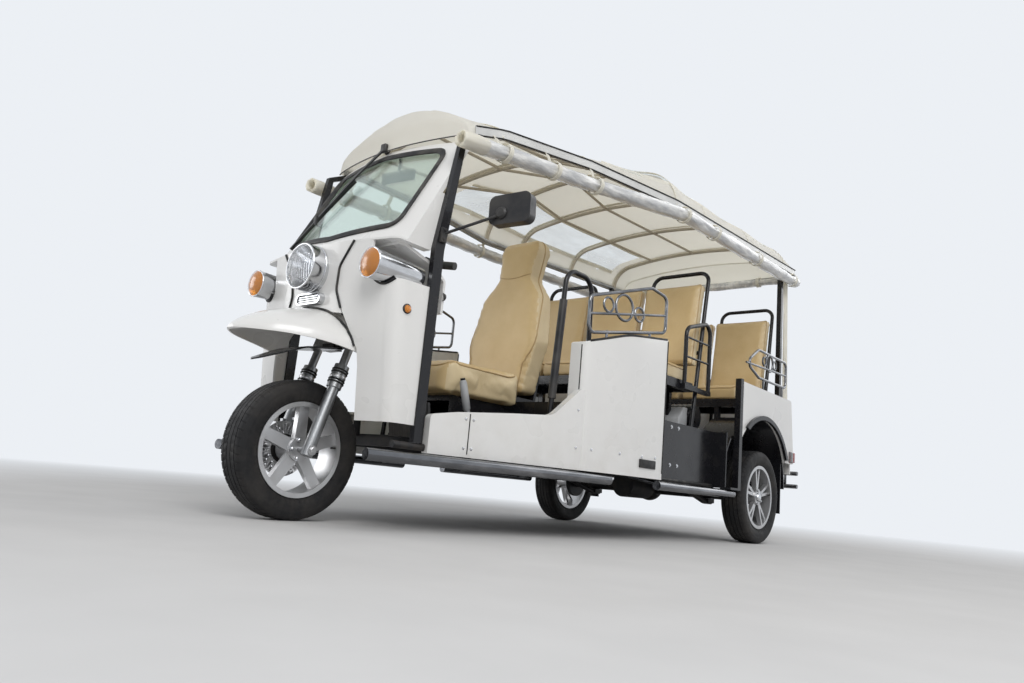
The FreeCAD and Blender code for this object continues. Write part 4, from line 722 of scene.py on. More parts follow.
lampSpec = {"headRadius": 0.0905, "headRise": 0.016, "turnRadius": 0.0565, "turnRise": 0.018,
            "turnPlace": (0.392, -0.044, 0.979), "markerStation": 0.107, "markerZ": 0.829,
            "bulb": [(0, 0.010), (0.020, 0.010), (0.032, 0.007), (0.038, 0.0005)],
            "marker": [(0, 0.0155), (0.006, 0.0150), (0.012, 0.0110), (0.0145, 0.0005)],
            "markerRim": [(-0.003, 0.0195), (0.004, 0.0190), (0.0055, 0.0165), (0.003, 0.0155)]}
shieldSkin, visorSkin = Skin("leg_shields"), Skin("front_visor")
noseSkin = Skin("leg_shields", "nose_cowl")


def lensDome(centre, radius, rise, rings=14):
    big = (radius ** 2 + rise ** 2) / (2 * rise)
    profile = [(-0.004, radius), (-0.001, radius + 0.0006)]
    for ring in range(rings + 1):
        reach = radius * (1 - ring / rings) + 0.0004
        profile.append((rise - (big - sqrt(big ** 2 - reach ** 2)), reach))
    return Form().turn(profile, centre, forward, 56)


def addLamps():
    spec = lampSpec
    low, high = span("lamp_shells")
    head = Vector((0, low.y, (high.z + low.z) / 2))
    dome = lensDome(head, spec["headRadius"], spec["headRise"])
    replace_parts(dome.piece("headLens", "headGlass"), "lamp_lenses")
    bezel, amber, rims = Form(), Form(), Form()
    bezel.tube(circlePath(head + back * 0.002, left, up, 0.0925, 64), 0.0042, 12, True)
    bezel.tube(circlePath(head + back * 0.058, left, up, 0.0962, 64), 0.0030, 10, True)
    Form().turn(spec["bulb"], head + back * 0.060, forward, 20).piece("headBulb", "headGlass")
    for side, tag in sides:
        spot = twin(at(*spec["turnPlace"]), side)
        dome = lensDome(spot + forward * 0.0004, spec["turnRadius"], spec["turnRise"])
        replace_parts(dome.piece("turnLens" + tag, "amber"), "lamp_lenses")
        bezel.tube(circlePath(spot + back * 0.002, left, up, 0.0585, 48), 0.0034, 10, True)
        bezel.bolt(spot + back * 0.060 + down * 0.0585, down, 0.003, 0.002)
        marker = shieldSkin.hit(at(side, spec["markerStation"], spec["markerZ"]), left * -side)
        amber.turn(spec["marker"], marker, left * side, 32)
        rims.turn(spec["markerRim"], marker, left * side, 36)
    bezel.piece("lampBezels", "chrome")
    amber.piece("markerLenses", "amber")
    rims.piece("markerRims", "rubber")


# Beading along the seams of the nose, and the dark plate behind its grille

beadSpec = {"radius": 0.0052, "cowl": ((0.2362, 1.098), (0.1625, 1.000), (0.1505, 0.905), (0.180, 0.832)),
            "cowlBend": 0.060, "gapHalf": 0.009, "visorHeight": 0.700, "visorFront": -0.300,
            "visorStep": 0.004, "visorSteps": 110, "visorDegrees": range(-4, 185, 4), "visorLift": 0.004,
            "lampRing": 0.0620}
grilleSpec = {"wide": 0.071, "high": 0.0165, "depth": 0.0168, "thick": 0.0005}


def onNose(x, z, lift=0.0):
    return noseSkin.hit(at(x, -0.6, z), back, lift)


def acrossGap(x, z):  # middle of the gap between cowl and shield, level with both
    gap = beadSpec["gapHalf"]
    spots = noseSkin.trace([at(x + shift, -0.6, z) for shift in (-gap, gap)], back, 0.002)
    return Vector((x, sum(spot.y for spot in spots) / len(spots), z)) if spots else None


def cowlSeam(side):  # from the top beside the headlamp down to the visor
    corners = [Vector((x, 0, z)) for x, z in beadSpec["cowl"]]
    path = finer(smoothBend(corners, beadSpec["cowlBend"]), 0.012)
    spots = [acrossGap(point.x * side, point.z) for point in path]
    return [spot for spot in spots if spot is not None]


def visorSeam():  # where the visor's skin runs in under the nose
    path = []
    for degree in beadSpec["visorDegrees"]:
        outward = Vector((cos(radians(degree)), 0, sin(radians(degree))))
        last = None
        for step in range(beadSpec["visorSteps"]):
            station = beadSpec["visorFront"] + step * beadSpec["visorStep"]
            start = at(0, station, beadSpec["visorHeight"]) + outward * 0.6
            visor, nose = visorSkin.hit(start, -outward), noseSkin.hit(start, -outward)
            if visor is None:
                continue
            if nose is not None and (nose - start).length < (visor - start).length:
                break
            last = visor
        if last is not None:
            path.append(last + outward * beadSpec["visorLift"])
    return path


def lampSeam(side):  # under the turn lamp, from its inner to its outer side
    x, _, z = lampSpec["turnPlace"]
    reach = beadSpec["lampRing"]
    angles = [radians(165 + 210 * step / 30) for step in range(31)]
    spots = [onNose(x * side + reach * cos(angle) * side, z + reach * sin(angle), 0.001) for angle in angles]
    return [spot for spot in spots if spot is not None]


def addBeading():
    beads = Form()
    beads.tube(visorSeam(), beadSpec["radius"], 8)
    for side, _ in sides:
        beads.tube(cowlSeam(side), beadSpec["radius"], 8)
        beads.tube(lampSeam(side), beadSpec["radius"], 8)
    beads.piece("noseBeading", "rubber")


def addGrilleBack():
    spec = grilleSpec
    low, high = span("nose_grille")
    middle = Vector((0, low.y + spec["depth"], (low.z + high.z) / 2))
    angles = [2 * pi * step / 40 for step in range(40)]
    outline = [middle + Vector((spec["wide"] * cos(angle), 0, spec["high"] * sin(angle))) for angle in angles]
    behind = [point + back * spec["thick"] for point in outline]
    Form().rows([outline, behind], around=True, caps=True).piece("grilleBack", "plastic")


addLamps()
addBeading()
addGrilleBack()
print("nose dressed")


# Screen: rubber gasket, wiper, inner mirror

screenSpec = {"baseStation": 0.008, "baseZ": 1.100, "slope": tan(radians(27.8)), "radius": 1.360,
              "corners": ((0, 1.148), (0.352, 1.180), (0.362, 1.580), (0, 1.606)), "bend": 0.060,
              "gasketWide": 0.016, "gasketDeep": 0.007}
wiperSpec = {"pivot": (-0.020, 1.655, 0.018), "elbow": (-0.105, 1.520, 0.030), "tip": (-0.250, 1.300, 0.016),
             "arm": strap(0.009, 0.004), "hub": (0.034, 0.022, 0.040), "clip": (0.020, 0.014, 0.044),
             "bladePath": ((-0.120, 1.500, 0.013), (-0.230, 1.330, 0.012), (-0.335, 1.160, 0.013)),
             "blade": [(0.006, 0.006), (-0.006, 0.006), (-0.003, -0.008), (0.003, -0.008)]}
innerSpec = {"place": (0.060, 1.520, -0.075), "size": (0.190, 0.022, 0.052), "turn": 8,
             "stalk": ((0.060, 1.590, -0.040), (0.060, 1.612, -0.026)), "stalkRadius": 0.006}


def onScreen(x, z, ahead=0.0):  # point on the curved, raked outer face
    spec = screenSpec
    station = spec["baseStation"] + (z - spec["baseZ"]) * spec["slope"] + x * x / (2 * spec["radius"])
    return at(x, station - ahead, z)


def addGasket():
    spec = screenSpec
    half = [Vector((x, 0, z)) for x, z in spec["corners"]]
    whole = half + [twin(point, -1) for point in reversed(half[1:3])]
    outline = finer(smoothBend(whole + whole[:1], spec["bend"], 8), 0.03)[:-1]
    path = [onScreen(point.x, point.z, 0.002) for point in outline]
    outward = [Vector((-point.x / spec["radius"], -1, spec["slope"])).normalized() for point in outline]
    section = disc(spec["gasketWide"], 14, spec["gasketDeep"] / spec["gasketWide"])
    Form().sweep(path, section, outward, loop=True).piece("screenGasket", "rubber")


def addWiper():
    spec = wiperSpec
    pivot, elbow, tip = (onScreen(*spec[key]) for key in ("pivot", "elbow", "tip"))
    out = Vector((0, -1, screenSpec["slope"])).normalized()
    wiper = Form().rod(pivot - out * 0.014, pivot + out * 0.016, 0.015)
    wiper.brick(pivot + out * 0.012, spec["hub"], bevel=0.006)
    wiper.sweep(smoothBend([pivot + out * 0.010, elbow, tip], 0.05), spec["arm"], out)
    wiper.sweep(smoothBend([onScreen(*place) for place in spec["bladePath"]], 0.2), spec["blade"], out)
    wiper.brick(tip, spec["clip"], bevel=0.003)
    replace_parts(wiper.piece("wiperArm", "plastic"), "wiper")


def addInnerMirror():
    spec = innerSpec
    spot = onScreen(*spec["place"])
    mirror = Form().brick(spot, spec["size"], Matrix.Rotation(radians(spec["turn"]), 3, "Z"), 0.009)
    mirror.tube([spot + up * 0.02] + [onScreen(*place) for place in spec["stalk"]], spec["stalkRadius"])
    mirror.piece("innerMirror", "plastic")


# Mirrors: glass behind the shell and a round boss in front

mirrorSpec = {"place": (0.694, 0.392, 1.280), "turn": 10, "glassBack": 0.0235, "glassThick": 0.0015,
              "corners": ((-0.080, -0.048), (-0.084, 0.046), (0.080, 0.054), (0.082, -0.046)), "bend": 0.024,
              "boss": (-0.040, -0.0225, -0.015), "foot": (0.4811, 0.236, 1.160), "bolts": (0.020, -0.018),
              "bossProfile": [(0, 0.026), (0.006, 0.025), (0.013, 0.018), (0.015, 0.0005)]}


def addMirrorTrim():
    spec = mirrorSpec
    glass, bosses = Form(), Form()
    for side, _ in sides:
        centre = twin(at(*spec["place"]), side)
        turned = Matrix.Rotation(radians(spec["turn"] * side), 3, "Z")
        corners = [Vector((x * side, 0, z)) for x, z in spec["corners"]]
        flat = smoothBend(corners + corners[:2], spec["bend"])[1:-1]
        face = [centre + turned @ (point + back * spec["glassBack"]) for point in flat]
        rear = [point + turned @ (back * spec["glassThick"]) for point in face]
        glass.rows([face, rear], around=True, caps=True)
        boss = centre + turned @ twin(Vector(spec["boss"]), side)
        bosses.turn(spec["bossProfile"], boss, turned @ forward, 32)
        for rise in spec["bolts"]:
            bosses.bolt(twin(at(*spec["foot"]), side) + up * rise, left * side, 0.005, 0.004)
    glass.piece("mirrorGlass", "mirror")
    bosses.piece("mirrorBosses", "plastic")


addGasket()
addWiper()
addInnerMirror()
addMirrorTrim()
print("screen dressed")


# Roof canvas: one sheet over the arches, with clear film in its haunches

roofSpec = {
    "edge": [(0.262, 0.425, 1.630), (0.520, 0.490, 1.690), (1.040, 0.583, 1.735), (1.690, 0.700, 1.742),
             (3.385, 0.700, 1.825)],  # station, half width, height
    "crown": [(0.262, 0.050, 0.020), (0.300, 0.140, 0.050), (0.345, 0.205, 0.085), (0.520, 0.168, 0.060),
              (1.040, 0.140, 0.075), (1.690, 0.310, 0.240), (2.040, 0.238, 0.190), (3.210, 0.235, 0.190),
              (3.385, 0.150, 0.100)],  # station, rise, shoulder radius
    "bows": (0.520, 1.040, 1.690, 2.040, 2.6275, 3.210), "half": 0.700, "skin": 0.001, "sag": 0.010,
    "columns": 72, "rowGap": 0.0395, "lastRow": 3.350, "rearRows": [3.374, 3.3845],
    "frontStation": 0.2815, "frontRows": 9, "frontGap": 0.0125, "frontEnd": 0.62, "hemRows": 4, "hemZ": 1.642,
    "gableRows": 8, "filmStations": (1.16, 3.12), "filmX": (0.375, 0.655)}
tapeSpec = {"section": strap(0.014, 0.0012, -0.0006), "bowSteps": 48, "filmSteps": 36, "search": 400,
            "facingZ": 1.55}
edgeSpec = {"start": 0.372, "end": 3.384, "steps": 72, "bandOut": 0.0016, "bandUp": 0.018,
            "band": [(0.023, 0.0012), (0.023, -0.0012), (-0.023, -0.0012), (-0.023, 0.0012)],
            "cordOut": 0.0042, "cordUp": (-0.003, 0.039), "cordRadius": 0.0036, "hemCord": 0.0030,
            "gableStation": 3.3885, "gableZ": 1.828}


def tableAt(rows, station):
    station = min(max(station, rows[0][0]), rows[-1][0])
    for low, high in zip(rows, rows[1:]):
        if station <= high[0]:
            share = (station - low[0]) / (high[0] - low[0])
            return [first + share * (second - first) for first, second in zip(low[1:], high[1:])]


def archPoint(station, share, inset=0.0):  # share runs 0 to 1 along the arch, from its left foot
    half, low = tableAt(roofSpec["edge"], station)
    rise, shoulder = tableAt(roofSpec["crown"], station)
    half, rise, shoulder = half - inset, rise - inset, shoulder - inset
    big = (half ** 2 - 2 * half * shoulder + rise ** 2) / (2 * (rise - shoulder))  # radius of the middle arc
    drop = rise - big
    turn = atan2(-drop, half - shoulder)
    first = shoulder * turn
    total = 2 * (first + big * (pi / 2 - turn))
    way = total * share
    side = 1 if way <= total / 2 else -1
    way = min(way, total - way)
    if way <= first:
        angle = way / shoulder
        return at(side * (half - shoulder + shoulder * cos(angle)), station, low + shoulder * sin(angle))
    angle = turn + (way - first) / big
    return at(side * big * cos(angle), station, low + drop + big * sin(angle))


def sagAt(station):
    bows = roofSpec["bows"]
    for first, second in zip(bows, bows[1:]):
        if first < station < second:
            return roofSpec["sag"] * sin(pi * (station - first) / (second - first)) ** 2
    return 0.0


def canopyPoint(station, share):  # the front follows the screen's curve in plan
    inset = roofSpec["skin"] + sagAt(station) * min(1, 6 * share, 6 * (1 - share))
    front, end = roofSpec["frontStation"], roofSpec["frontEnd"]
    ease = min(1, max(0, (end - station) / (end - front)))
    point = archPoint(station, share, inset)
    shift = ease * (point.x * point.x / (2 * screenSpec["radius"]))
    return archPoint(station + shift, share, inset) if shift else point


def canopyLines():
    spec = roofSpec
    shares = [column / spec["columns"] for column in range(spec["columns"] + 1)]
    stations = [spec["frontStation"] + step * spec["frontGap"] for step in range(spec["frontRows"])]
    while stations[-1] < spec["lastRow"]:
        stations.append(stations[-1] + spec["rowGap"])
    body = [[canopyPoint(station, share) for share in shares] for station in stations + spec["rearRows"]]
    lines = []
    for step in range(spec["hemRows"]):  # upright front over the screen head
        drop = 1 - step / spec["hemRows"]
        ahead = -0.004 * drop ** 2
        lines.append([point + Vector((0, ahead, (min(spec["hemZ"], point.z - 0.004) - point.z) * drop))
                      for point in body[0]])
    lines += body
    lowest = min(point.z for point in body[-1])
    for step in range(1, spec["gableRows"] + 1):  # closed gable at the rear
        share = step / spec["gableRows"]
        lines.append([Vector((point.x * (1 - 0.002 * share), point.y + 0.0003 * step,
                              lowest + (point.z - lowest) * (1 - share))) for point in body[-1]])
    return lines


def addCanopy():
    spec = roofSpec
    lines = canopyLines()
    form = Form().rows(lines)
    low, high = spec["filmStations"]
    near, far = spec["filmX"]
    for face in form.mesh.faces:
        middle = face.calc_center_median()
        station = middle.y - frontAxle
        scale = tableAt(spec["edge"], station)[0] / spec["half"]
        if low < station < high and near < abs(middle.x) / scale < far:
            face.material_index = 1
    canopy = form.piece("canvasCanopy", "canvas", sharp=75, extra=("film",))
    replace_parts(canopy, "roof_canopy")
    length = pathLength([line[spec["columns"] // 2] for line in lines])


def shareAt(station, x):  # how far along the arch its foot's side reaches this x
    search = tapeSpec["search"]
    shares = [step / search for step in range(search // 2 + 1)]
    return min(shares, key=lambda share: abs(abs(archPoint(station, share).x) - x))


def addRoofTapes():
    spec = tapeSpec
    tapes = Form()
    for station in roofSpec["bows"]:
        path = [archPoint(station, step / spec["bowSteps"], -0.0002) for step in range(spec["bowSteps"] + 1)]
        middle = at(0, station, tableAt(roofSpec["edge"], station)[1])
        tapes.sweep(path, spec["section"], [(point - middle).normalized() for point in path])
    low, high = roofSpec["filmStations"]
    for side, _ in sides:
        for edgeX in roofSpec["filmX"]:
            path = []
            for step in range(spec["filmSteps"] + 1):
                station = low + (high - low) * step / spec["filmSteps"]
                share = shareAt(station, edgeX * tableAt(roofSpec["edge"], station)[0] / roofSpec["half"])
                path.append(archPoint(station, share if side > 0 else 1 - share, -0.0004 + sagAt(station)))
            facing = [Vector((point.x, 0, point.z - spec["facingZ"])).normalized() for point in path]
            tapes.sweep(path, spec["section"], facing)
    tapes.piece("canopyTapes", "canvas", sharp=60)


def edgePath(side, out, rise):
    path = []
    for step in range(edgeSpec["steps"] + 1):
        station = edgeSpec["start"] + (edgeSpec["end"] - edgeSpec["start"]) * step / edgeSpec["steps"]
        half, low = tableAt(roofSpec["edge"], station)
        path.append(at(side * (half + out), station, low + rise))
    return path


def addCanopyEdge():
    spec = edgeSpec
    bands, cords = Form(), Form()
    for side, _ in sides:
        bands.sweep(edgePath(side, spec["bandOut"], spec["bandUp"]), spec["band"], left)
        for rise in spec["cordUp"]:
            cords.tube(edgePath(side, spec["cordOut"], rise), spec["cordRadius"], 8)
    bands.piece("canopyEdgeBands", "hem", sharp=60)
    half = roofSpec["half"]
    gable = [at(half - 2 * half * step / 20, spec["gableStation"], spec["gableZ"]) for step in range(21)]
    cords.tube(gable, spec["cordRadius"], 8)
    frontHem = []
    for step in range(49):
        point = canopyPoint(roofSpec["frontStation"], 0.03 + 0.94 * step / 48)
        frontHem.append(Vector((point.x, point.y - 0.003, min(roofSpec["hemZ"], point.z - 0.004) + 0.004)))
    cords.tube(frontHem, spec["hemCord"], 8)
    cords.piece("canopyCords", "rubber", sharp=60)


addCanopy()
addRoofTapes()
addCanopyEdge()
print("roof dressed")


# Rolled side and rear curtains: spiral sheets with straps

rollSpec = {"path": [(0.513, 0.235, 0.062), (0.620, 1.040, 0.095), (0.742, 1.690, 0.048),
                     (0.742, 3.290, 0.076)],
            "bend": 0.5, "turns": 3, "perTurn": 26, "inner": 0.023, "outer": 0.0425, "crumple": 0.0055,
            "gap": 0.022, "pinch": 0.10, "pinchReach": 0.16, "flatten": 0.94, "canvasEnd": 0.13,
            "straps": (0.470, 0.760, 1.040, 1.690, 2.040, 2.6275, 3.210), "strapRadius": 0.0430}
rearSpec = {"station": 3.340, "half": 0.686, "drop": 0.0346, "scale": 0.76, "straps": (-0.46, 0.0, 0.46),
            "strapRadius": 0.0325, "anchor": (0, 0.012, 0.040)}
strapSpec = {"section": strap(0.0120, 0.0012), "buckle": (0.007, 0.020, 0.014)}


def rollLine(point, along, side, scale):  # one cross-section of the roll
    spec = rollSpec
    across = up.cross(along).normalized()
    above = along.cross(across)
    count = spec["turns"] * spec["perTurn"]
    line = []
    for step in range(count + 1):
        share = step / count
        angle = 2 * pi * spec["turns"] * share + 0.5
        radius = (spec["inner"] + (spec["outer"] - spec["inner"]) * share) * scale
        probe = Vector((2.2 * cos(angle), point.y * 7, 2.2 * sin(angle) + point.x * 6 + share * 1.5))
        radius += spec["crumple"] * (noise.fractal(probe, 0.6, 2.1, 3) - 0.45) * (0.3 + 0.7 * share)
        line.append(point + (across * cos(angle) * side + above * spec["flatten"] * sin(angle)) * radius)
    return line


def addRoll(name, path, side, scale, straps):
    spec = rollSpec
    dense = finer(path, spec["gap"])
    lines = []
    for index, point in enumerate(dense):
        along = (dense[min(index + 1, len(dense) - 1)] - dense[max(index - 1, 0)]).normalized()
        nearest = min((point - strapSpot).length for strapSpot in straps)
        pinch = (1 - spec["pinch"]) + spec["pinch"] * min(1, nearest / spec["pinchReach"])
        lines.append(rollLine(point, along, side, scale * pinch))
    form = Form().rows(lines)
    for face in form.mesh.faces:
        if (face.calc_center_median() - path[0]).length < spec["canvasEnd"]:
            face.material_index = 1
    piece = form.piece(name, "roll", sharp=70, extra=("canvas",))
    length = pathLength(dense)
    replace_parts(piece, "rolled_curtains")


def strapLoop(form, centre, along, radius, anchor):  # tight band with a short tab up to the canopy
    across = along.cross(up).normalized()
    above = across.cross(along)
    above = above if above.z > 0 else -above
    band = circlePath(centre, across, above, radius, 28)[:-1]
    form.sweep(band, strapSpec["section"], [(point - centre).normalized() for point in band], loop=True)
    toward = (anchor - centre).normalized()
    form.sweep([centre + toward * (radius - 0.001), anchor], strapSpec["section"], across)
    form.brick(centre + toward * (radius + 0.002), strapSpec["buckle"], bevel=0.002)


def addRolls():
    straps = Form()
    for side, tag in sides:
        corners = [at(half * side, station, tableAt(roofSpec["edge"], station)[1] - drop)
                   for half, station, drop in rollSpec["path"]]
        path = smoothBend(corners, rollSpec["bend"], 14)
        spots = []
        for station in rollSpec["straps"]:
            y = frontAxle + station
            first, second = next(pair for pair in zip(path, path[1:]) if pair[0].y <= y <= pair[1].y)
            spots.append(first.lerp(second, (y - first.y) / (second.y - first.y)))
            half, low = tableAt(roofSpec["edge"], station)
            anchor = at((half + 0.001) * side, station, low + 0.004)
            strapLoop(straps, spots[-1], back, rollSpec["strapRadius"], anchor)
        addRoll("sideRoll" + tag, path, side, 1.0, spots)
    spec = rearSpec
    z = tableAt(roofSpec["edge"], spec["station"])[1] - spec["drop"]
    path = [at(-spec["half"] + 2 * spec["half"] * step / 24, spec["station"], z) for step in range(25)]
    spots = [at(x, spec["station"], z) for x in spec["straps"]]
    addRoll("rearRoll", path, 1, spec["scale"], spots)
    for spot in spots:
        strapLoop(straps, spot, left, spec["strapRadius"], spot + Vector(spec["anchor"]))
    straps.piece("rollStraps", "canvas", sharp=60)


# Folded strips that hang at the rear corners

stripSpec = {"low": 0.938, "length": 0.874, "rows": 40, "columns": 36, "x": 0.6820, "station": 3.268,
             "lean": 0.034, "wide": 0.062, "folds": 4.5, "depth": 0.0062}


def stripPoint(side, share, across):
    spec = stripSpec
    spread = 0.5 + 0.5 * (1 - share) ** 1.5
    fold = sin(across * 2 * pi * spec["folds"] + 1.2 * sin(5 * share)) * spec["depth"] * (0.75 + 0.4 * spread)
    width = spec["wide"] * (0.62 + 0.5 * spread)
    station = spec["station"] + spec["lean"] * (1 - share) + (across - 0.5) * width
    return at(side * (spec["x"] + fold), station, spec["low"] + spec["length"] * share)


def addRearStrips():
    rows, columns, length = stripSpec["rows"], stripSpec["columns"], stripSpec["length"]
    for side, tag in sides:
        lines = [[stripPoint(side, row / rows, column / columns) for column in range(columns + 1)]
                 for row in range(rows + 1)]
        piece = Form().rows(lines).piece("rearStrip" + tag, "canvas", sharp=70)
        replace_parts(piece, "rolled_curtains")


addRolls()
addRearStrips()
print("curtains dressed")


# Seats: cushions puffed by cloth pressure, paler sides, piping along the seams

cushionSpec = {"voxel": 0.0075, "pressure": 4.0, "frames": 20, "start": 0.982, "sideTurn": 0.62,
               "margin": 0.006, "piping": 0.0042}
benchSpec = {"bench_cushions": {"cap": 0.014, "kind": "top", "lean": 0.0},
             "bench_backs": {"cap": 0.012, "kind": "front", "lean": 0.1546}}
benchFill, benchInset = 0.75, Vector((0.014, 0.014, 0.004))
driverSpec = {"cap": 0.016, "fill": 0.8, "inset": Vector((0.016, 0.016, 0.006)), "rounding": 0.08,
              "seamHalf": 0.128, "seamUp": 0.655, "seamCurve": 0.030, "seamRadius": 0.0036,
              "ringReach": (0.42, 0.72), "ringSlope": 0.15, "ringRadius": 0.0040}


def islandMeshes(node):  # the separate solids of a node, front to rear and right to left
    form = bmesh.new()
    form.from_mesh(nodes[node].data)
    bmesh.ops.remove_doubles(form, verts=form.verts, dist=1e-5)
    waiting = set(form.verts)
    groups = []
    while waiting:
        stack, group = [waiting.pop()], set()
        while stack:
            vertex = stack.pop()
            group.add(vertex)
            for edge in vertex.link_edges:
                other = edge.other_vert(vertex)
                if other in waiting:
                    waiting.discard(other)
                    stack.append(other)
        groups.append(group)
    found = []
    for group in groups:
        index = {vertex: number for number, vertex in enumerate(group)}
        faces = [[index[vertex] for vertex in face.verts] for face in form.faces if face.verts[0] in group]
        points = [vertex.co.copy() for vertex in group]
        mesh = bpy.data.meshes.new(node + "Part")
        mesh.from_pydata(points, [], faces)
        low = Vector(min(point[axis] for point in points) for axis in range(3))
        high = Vector(max(point[axis] for point in points) for axis in range(3))
        found.append((mesh, (low + high) / 2, low, high))
    form.free()
    return sorted(found, key=lambda row: (round(row[1].y, 2), row[1].x))


def blowUp(made, cap):  # cloth pressure, with how far a point may move held to the cap
    rest = [vertex.co.copy() for vertex in made.data.vertices]
    cloth = made.modifiers.new("cloth", "CLOTH")
    cloth.settings.use_pressure = True
    cloth.settings.uniform_pressure_force = cushionSpec["pressure"]
    cloth.settings.effector_weights.gravity = 0
    cloth.settings.quality = 4
    cloth.point_cache.frame_end = cushionSpec["frames"]
    for step in range(1, cushionSpec["frames"] + 1):
        scene.frame_set(step)
    applyModifiers(made)
    scene.frame_set(1)
    for vertex, start in zip(made.data.vertices, rest):
        move = vertex.co - start
        if move.length > cap:
            vertex.co = start + move * (cap / move.length)


def puff(mesh, centre, low, high, cap):  # a grown copy within the solid's own box, its sides paler
    for vertex in mesh.vertices:
        vertex.co = centre + (vertex.co - centre) * cushionSpec["start"]
    made = bpy.data.objects.new("puffing", mesh)
    scene.collection.objects.link(made)
    remesh = made.modifiers.new("voxels", "REMESH")
    remesh.mode, remesh.voxel_size = "VOXEL", cushionSpec["voxel"]
    applyModifiers(made)
    blowUp(made, cap)
    smooth = made.modifiers.new("smooth", "SMOOTH")
    smooth.factor, smooth.iterations = 0.5, 6
    applyModifiers(made)
    grown, margin = made.data, cushionSpec["margin"]
    bpy.data.objects.remove(made)
    for vertex in grown.vertices:
        for axis in range(3):
            vertex.co[axis] = min(max(vertex.co[axis], low[axis] - margin), high[axis] + margin)
    for face in grown.polygons:
        if abs(face.normal.x) > cushionSpec["sideTurn"]:
            face.material_index = 1
    return grown


def treeOf(mesh):
    faces = [list(face.vertices) for face in mesh.polygons]
    return BVHTree.FromPolygons([vertex.co for vertex in mesh.vertices], faces)


def pipingOn(form, mesh, corners, normal, rounding=0.035):
    radius, tree = cushionSpec["piping"], treeOf(mesh)
    centre = sum(corners, Vector()) / len(corners)
    path = smoothBend(corners + corners[:2], rounding)[1:-1]
    ring = []
    for point in finer(path + path[:1], 0.02)[:-1]:
        out = point - centre
        out = (out - normal * out.dot(normal)).normalized()
        slant = (out + normal).normalized()
        spot, _, _, _ = tree.ray_cast(point + slant * 0.12, -slant)
        if spot is not None:
            ring.append(spot + slant * radius * 0.15)
    form.tube(ring, radius, 8, True)


def softPiece(name, node, mesh, offset=Vector((0, 0, 0))):
    copied = mesh.copy()
    for vertex in copied.vertices:
        vertex.co += offset
    piece = finishPiece(name, copied, "vinyl", "chassis", 80, ("pale",))
    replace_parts(piece, node)
    return piece


def faceCorners(low, high, kind, slope=0.0):  # of a cushion's top or a back rest's front
    if kind == "top":
        rear = high.z - 0.010
        return [Vector((low.x, low.y, high.z)), Vector((high.x, low.y, high.z)),
                Vector((high.x, high.y, rear)), Vector((low.x, high.y, rear))]
    y = low.y + slope * (high.z - low.z)
    return [low.copy(), Vector((high.x, low.y, low.z)), Vector((high.x, y, high.z)),
            Vector((low.x, y, high.z))]


def addBenches():
    piping = Form()
    for node, spec in benchSpec.items():
        islands = islandMeshes(node)
        mesh, centre, low, high = islands[0]
        grown = puff(mesh, centre, low, high, spec["cap"])
        normal = up if spec["kind"] == "top" else Vector((0, -1, spec["lean"])).normalized()
        for number, (_, middle, boxLow, boxHigh) in enumerate(islands):
            name = node.replace("_", "-") + str(number + 1)
            piece = softPiece(name, node, grown, middle - centre)
            corners = faceCorners(boxLow + benchInset, boxHigh - benchInset, spec["kind"], spec["lean"])
            pipingOn(piping, piece.data, corners, normal)
    piping.piece("benchPiping", "piping", sharp=60)


def addDriverSeat():
    spec = driverSpec
    piping = Form()
    part, = islandMeshes("driver_seat_cushion")
    _, _, low, high = part
    cushion = softPiece("driverCushion", "driver_seat_cushion", puff(*part, spec["cap"]))
    corners = faceCorners(low + spec["inset"], high - spec["inset"], "top")
    pipingOn(piping, cushion.data, corners, up, spec["rounding"])

    part, = islandMeshes("driver_seat_back")
    _, middle, low, high = part
    backRest = softPiece("driverBack", "driver_seat_back", puff(*part, spec["cap"]))
    tree = treeOf(backRest.data)
    headSeam, half = [], spec["seamHalf"]
    for step in range(25):  # across the front below the head rest
        x = -half + 2 * half * step / 24
        z = low.z + spec["seamUp"] + spec["seamCurve"] * (x / half) ** 2
        spot, _, _, _ = tree.ray_cast(Vector((x, low.y - 0.4, z)), back)
        if spot is not None:
            headSeam.append(spot + back * 0.0006)
    piping.tube(headSeam, spec["seamRadius"], 8)
    middle = Vector((0, middle.y, middle.z))
    ring, (wide, tall) = [], spec["ringReach"]
    for step in range(120):  # round the outline
        angle = 2 * pi * step / 120
        aim = Vector((wide * cos(angle), 0, tall * sin(angle)))
        start = middle + aim + forward * 0.03 + back * spec["ringSlope"] * aim.z
        spot, _, _, _ = tree.ray_cast(start, -aim)
        if spot is not None:
            ring.append(spot)
    piping.tube(ring, spec["ringRadius"], 8, True)
    piping.piece("driverPiping", "piping", sharp=60)


addBenches()
addDriverSeat()
print("seats dressed")


# Body sides: scrolls in the bright rails

scrollSpec = {"x": 0.6763, "station": 0.985, "swing": 7.66, "z": 1.068, "along": (0.128, 0.352),
              "radius": 0.034, "rearX": 0.755, "rearZ": 1.100, "rearStations": (2.770, 2.930),
              "rearRadius": 0.026, "wire": 0.0056}


def onMidRail(along, side):
    spec = scrollSpec
    swing = radians(spec["swing"])
    return at(side * (spec["x"] + along * sin(swing)), spec["station"] + along * cos(swing), spec["z"])


def addRailScrolls():
    spec = scrollSpec
    scrolls = Form()
    for side, _ in sides:
        ahead = (onMidRail(1, side) - onMidRail(0, side)).normalized()
        for along in spec["along"]:
            ring = circlePath(onMidRail(along, side), ahead, up, spec["radius"], 40)
            scrolls.tube(ring, spec["wire"], 10, True)
        for station in spec["rearStations"]:
            centre = at(side * spec["rearX"], station, spec["rearZ"])
            scrolls.tube(circlePath(centre, back, up, spec["rearRadius"], 36), spec["wire"], 10, True)
    scrolls.piece("railScrolls", "paintedReflectionChrome")


# Panel trims, seams and screws, laid on the panels by straight casts from outside

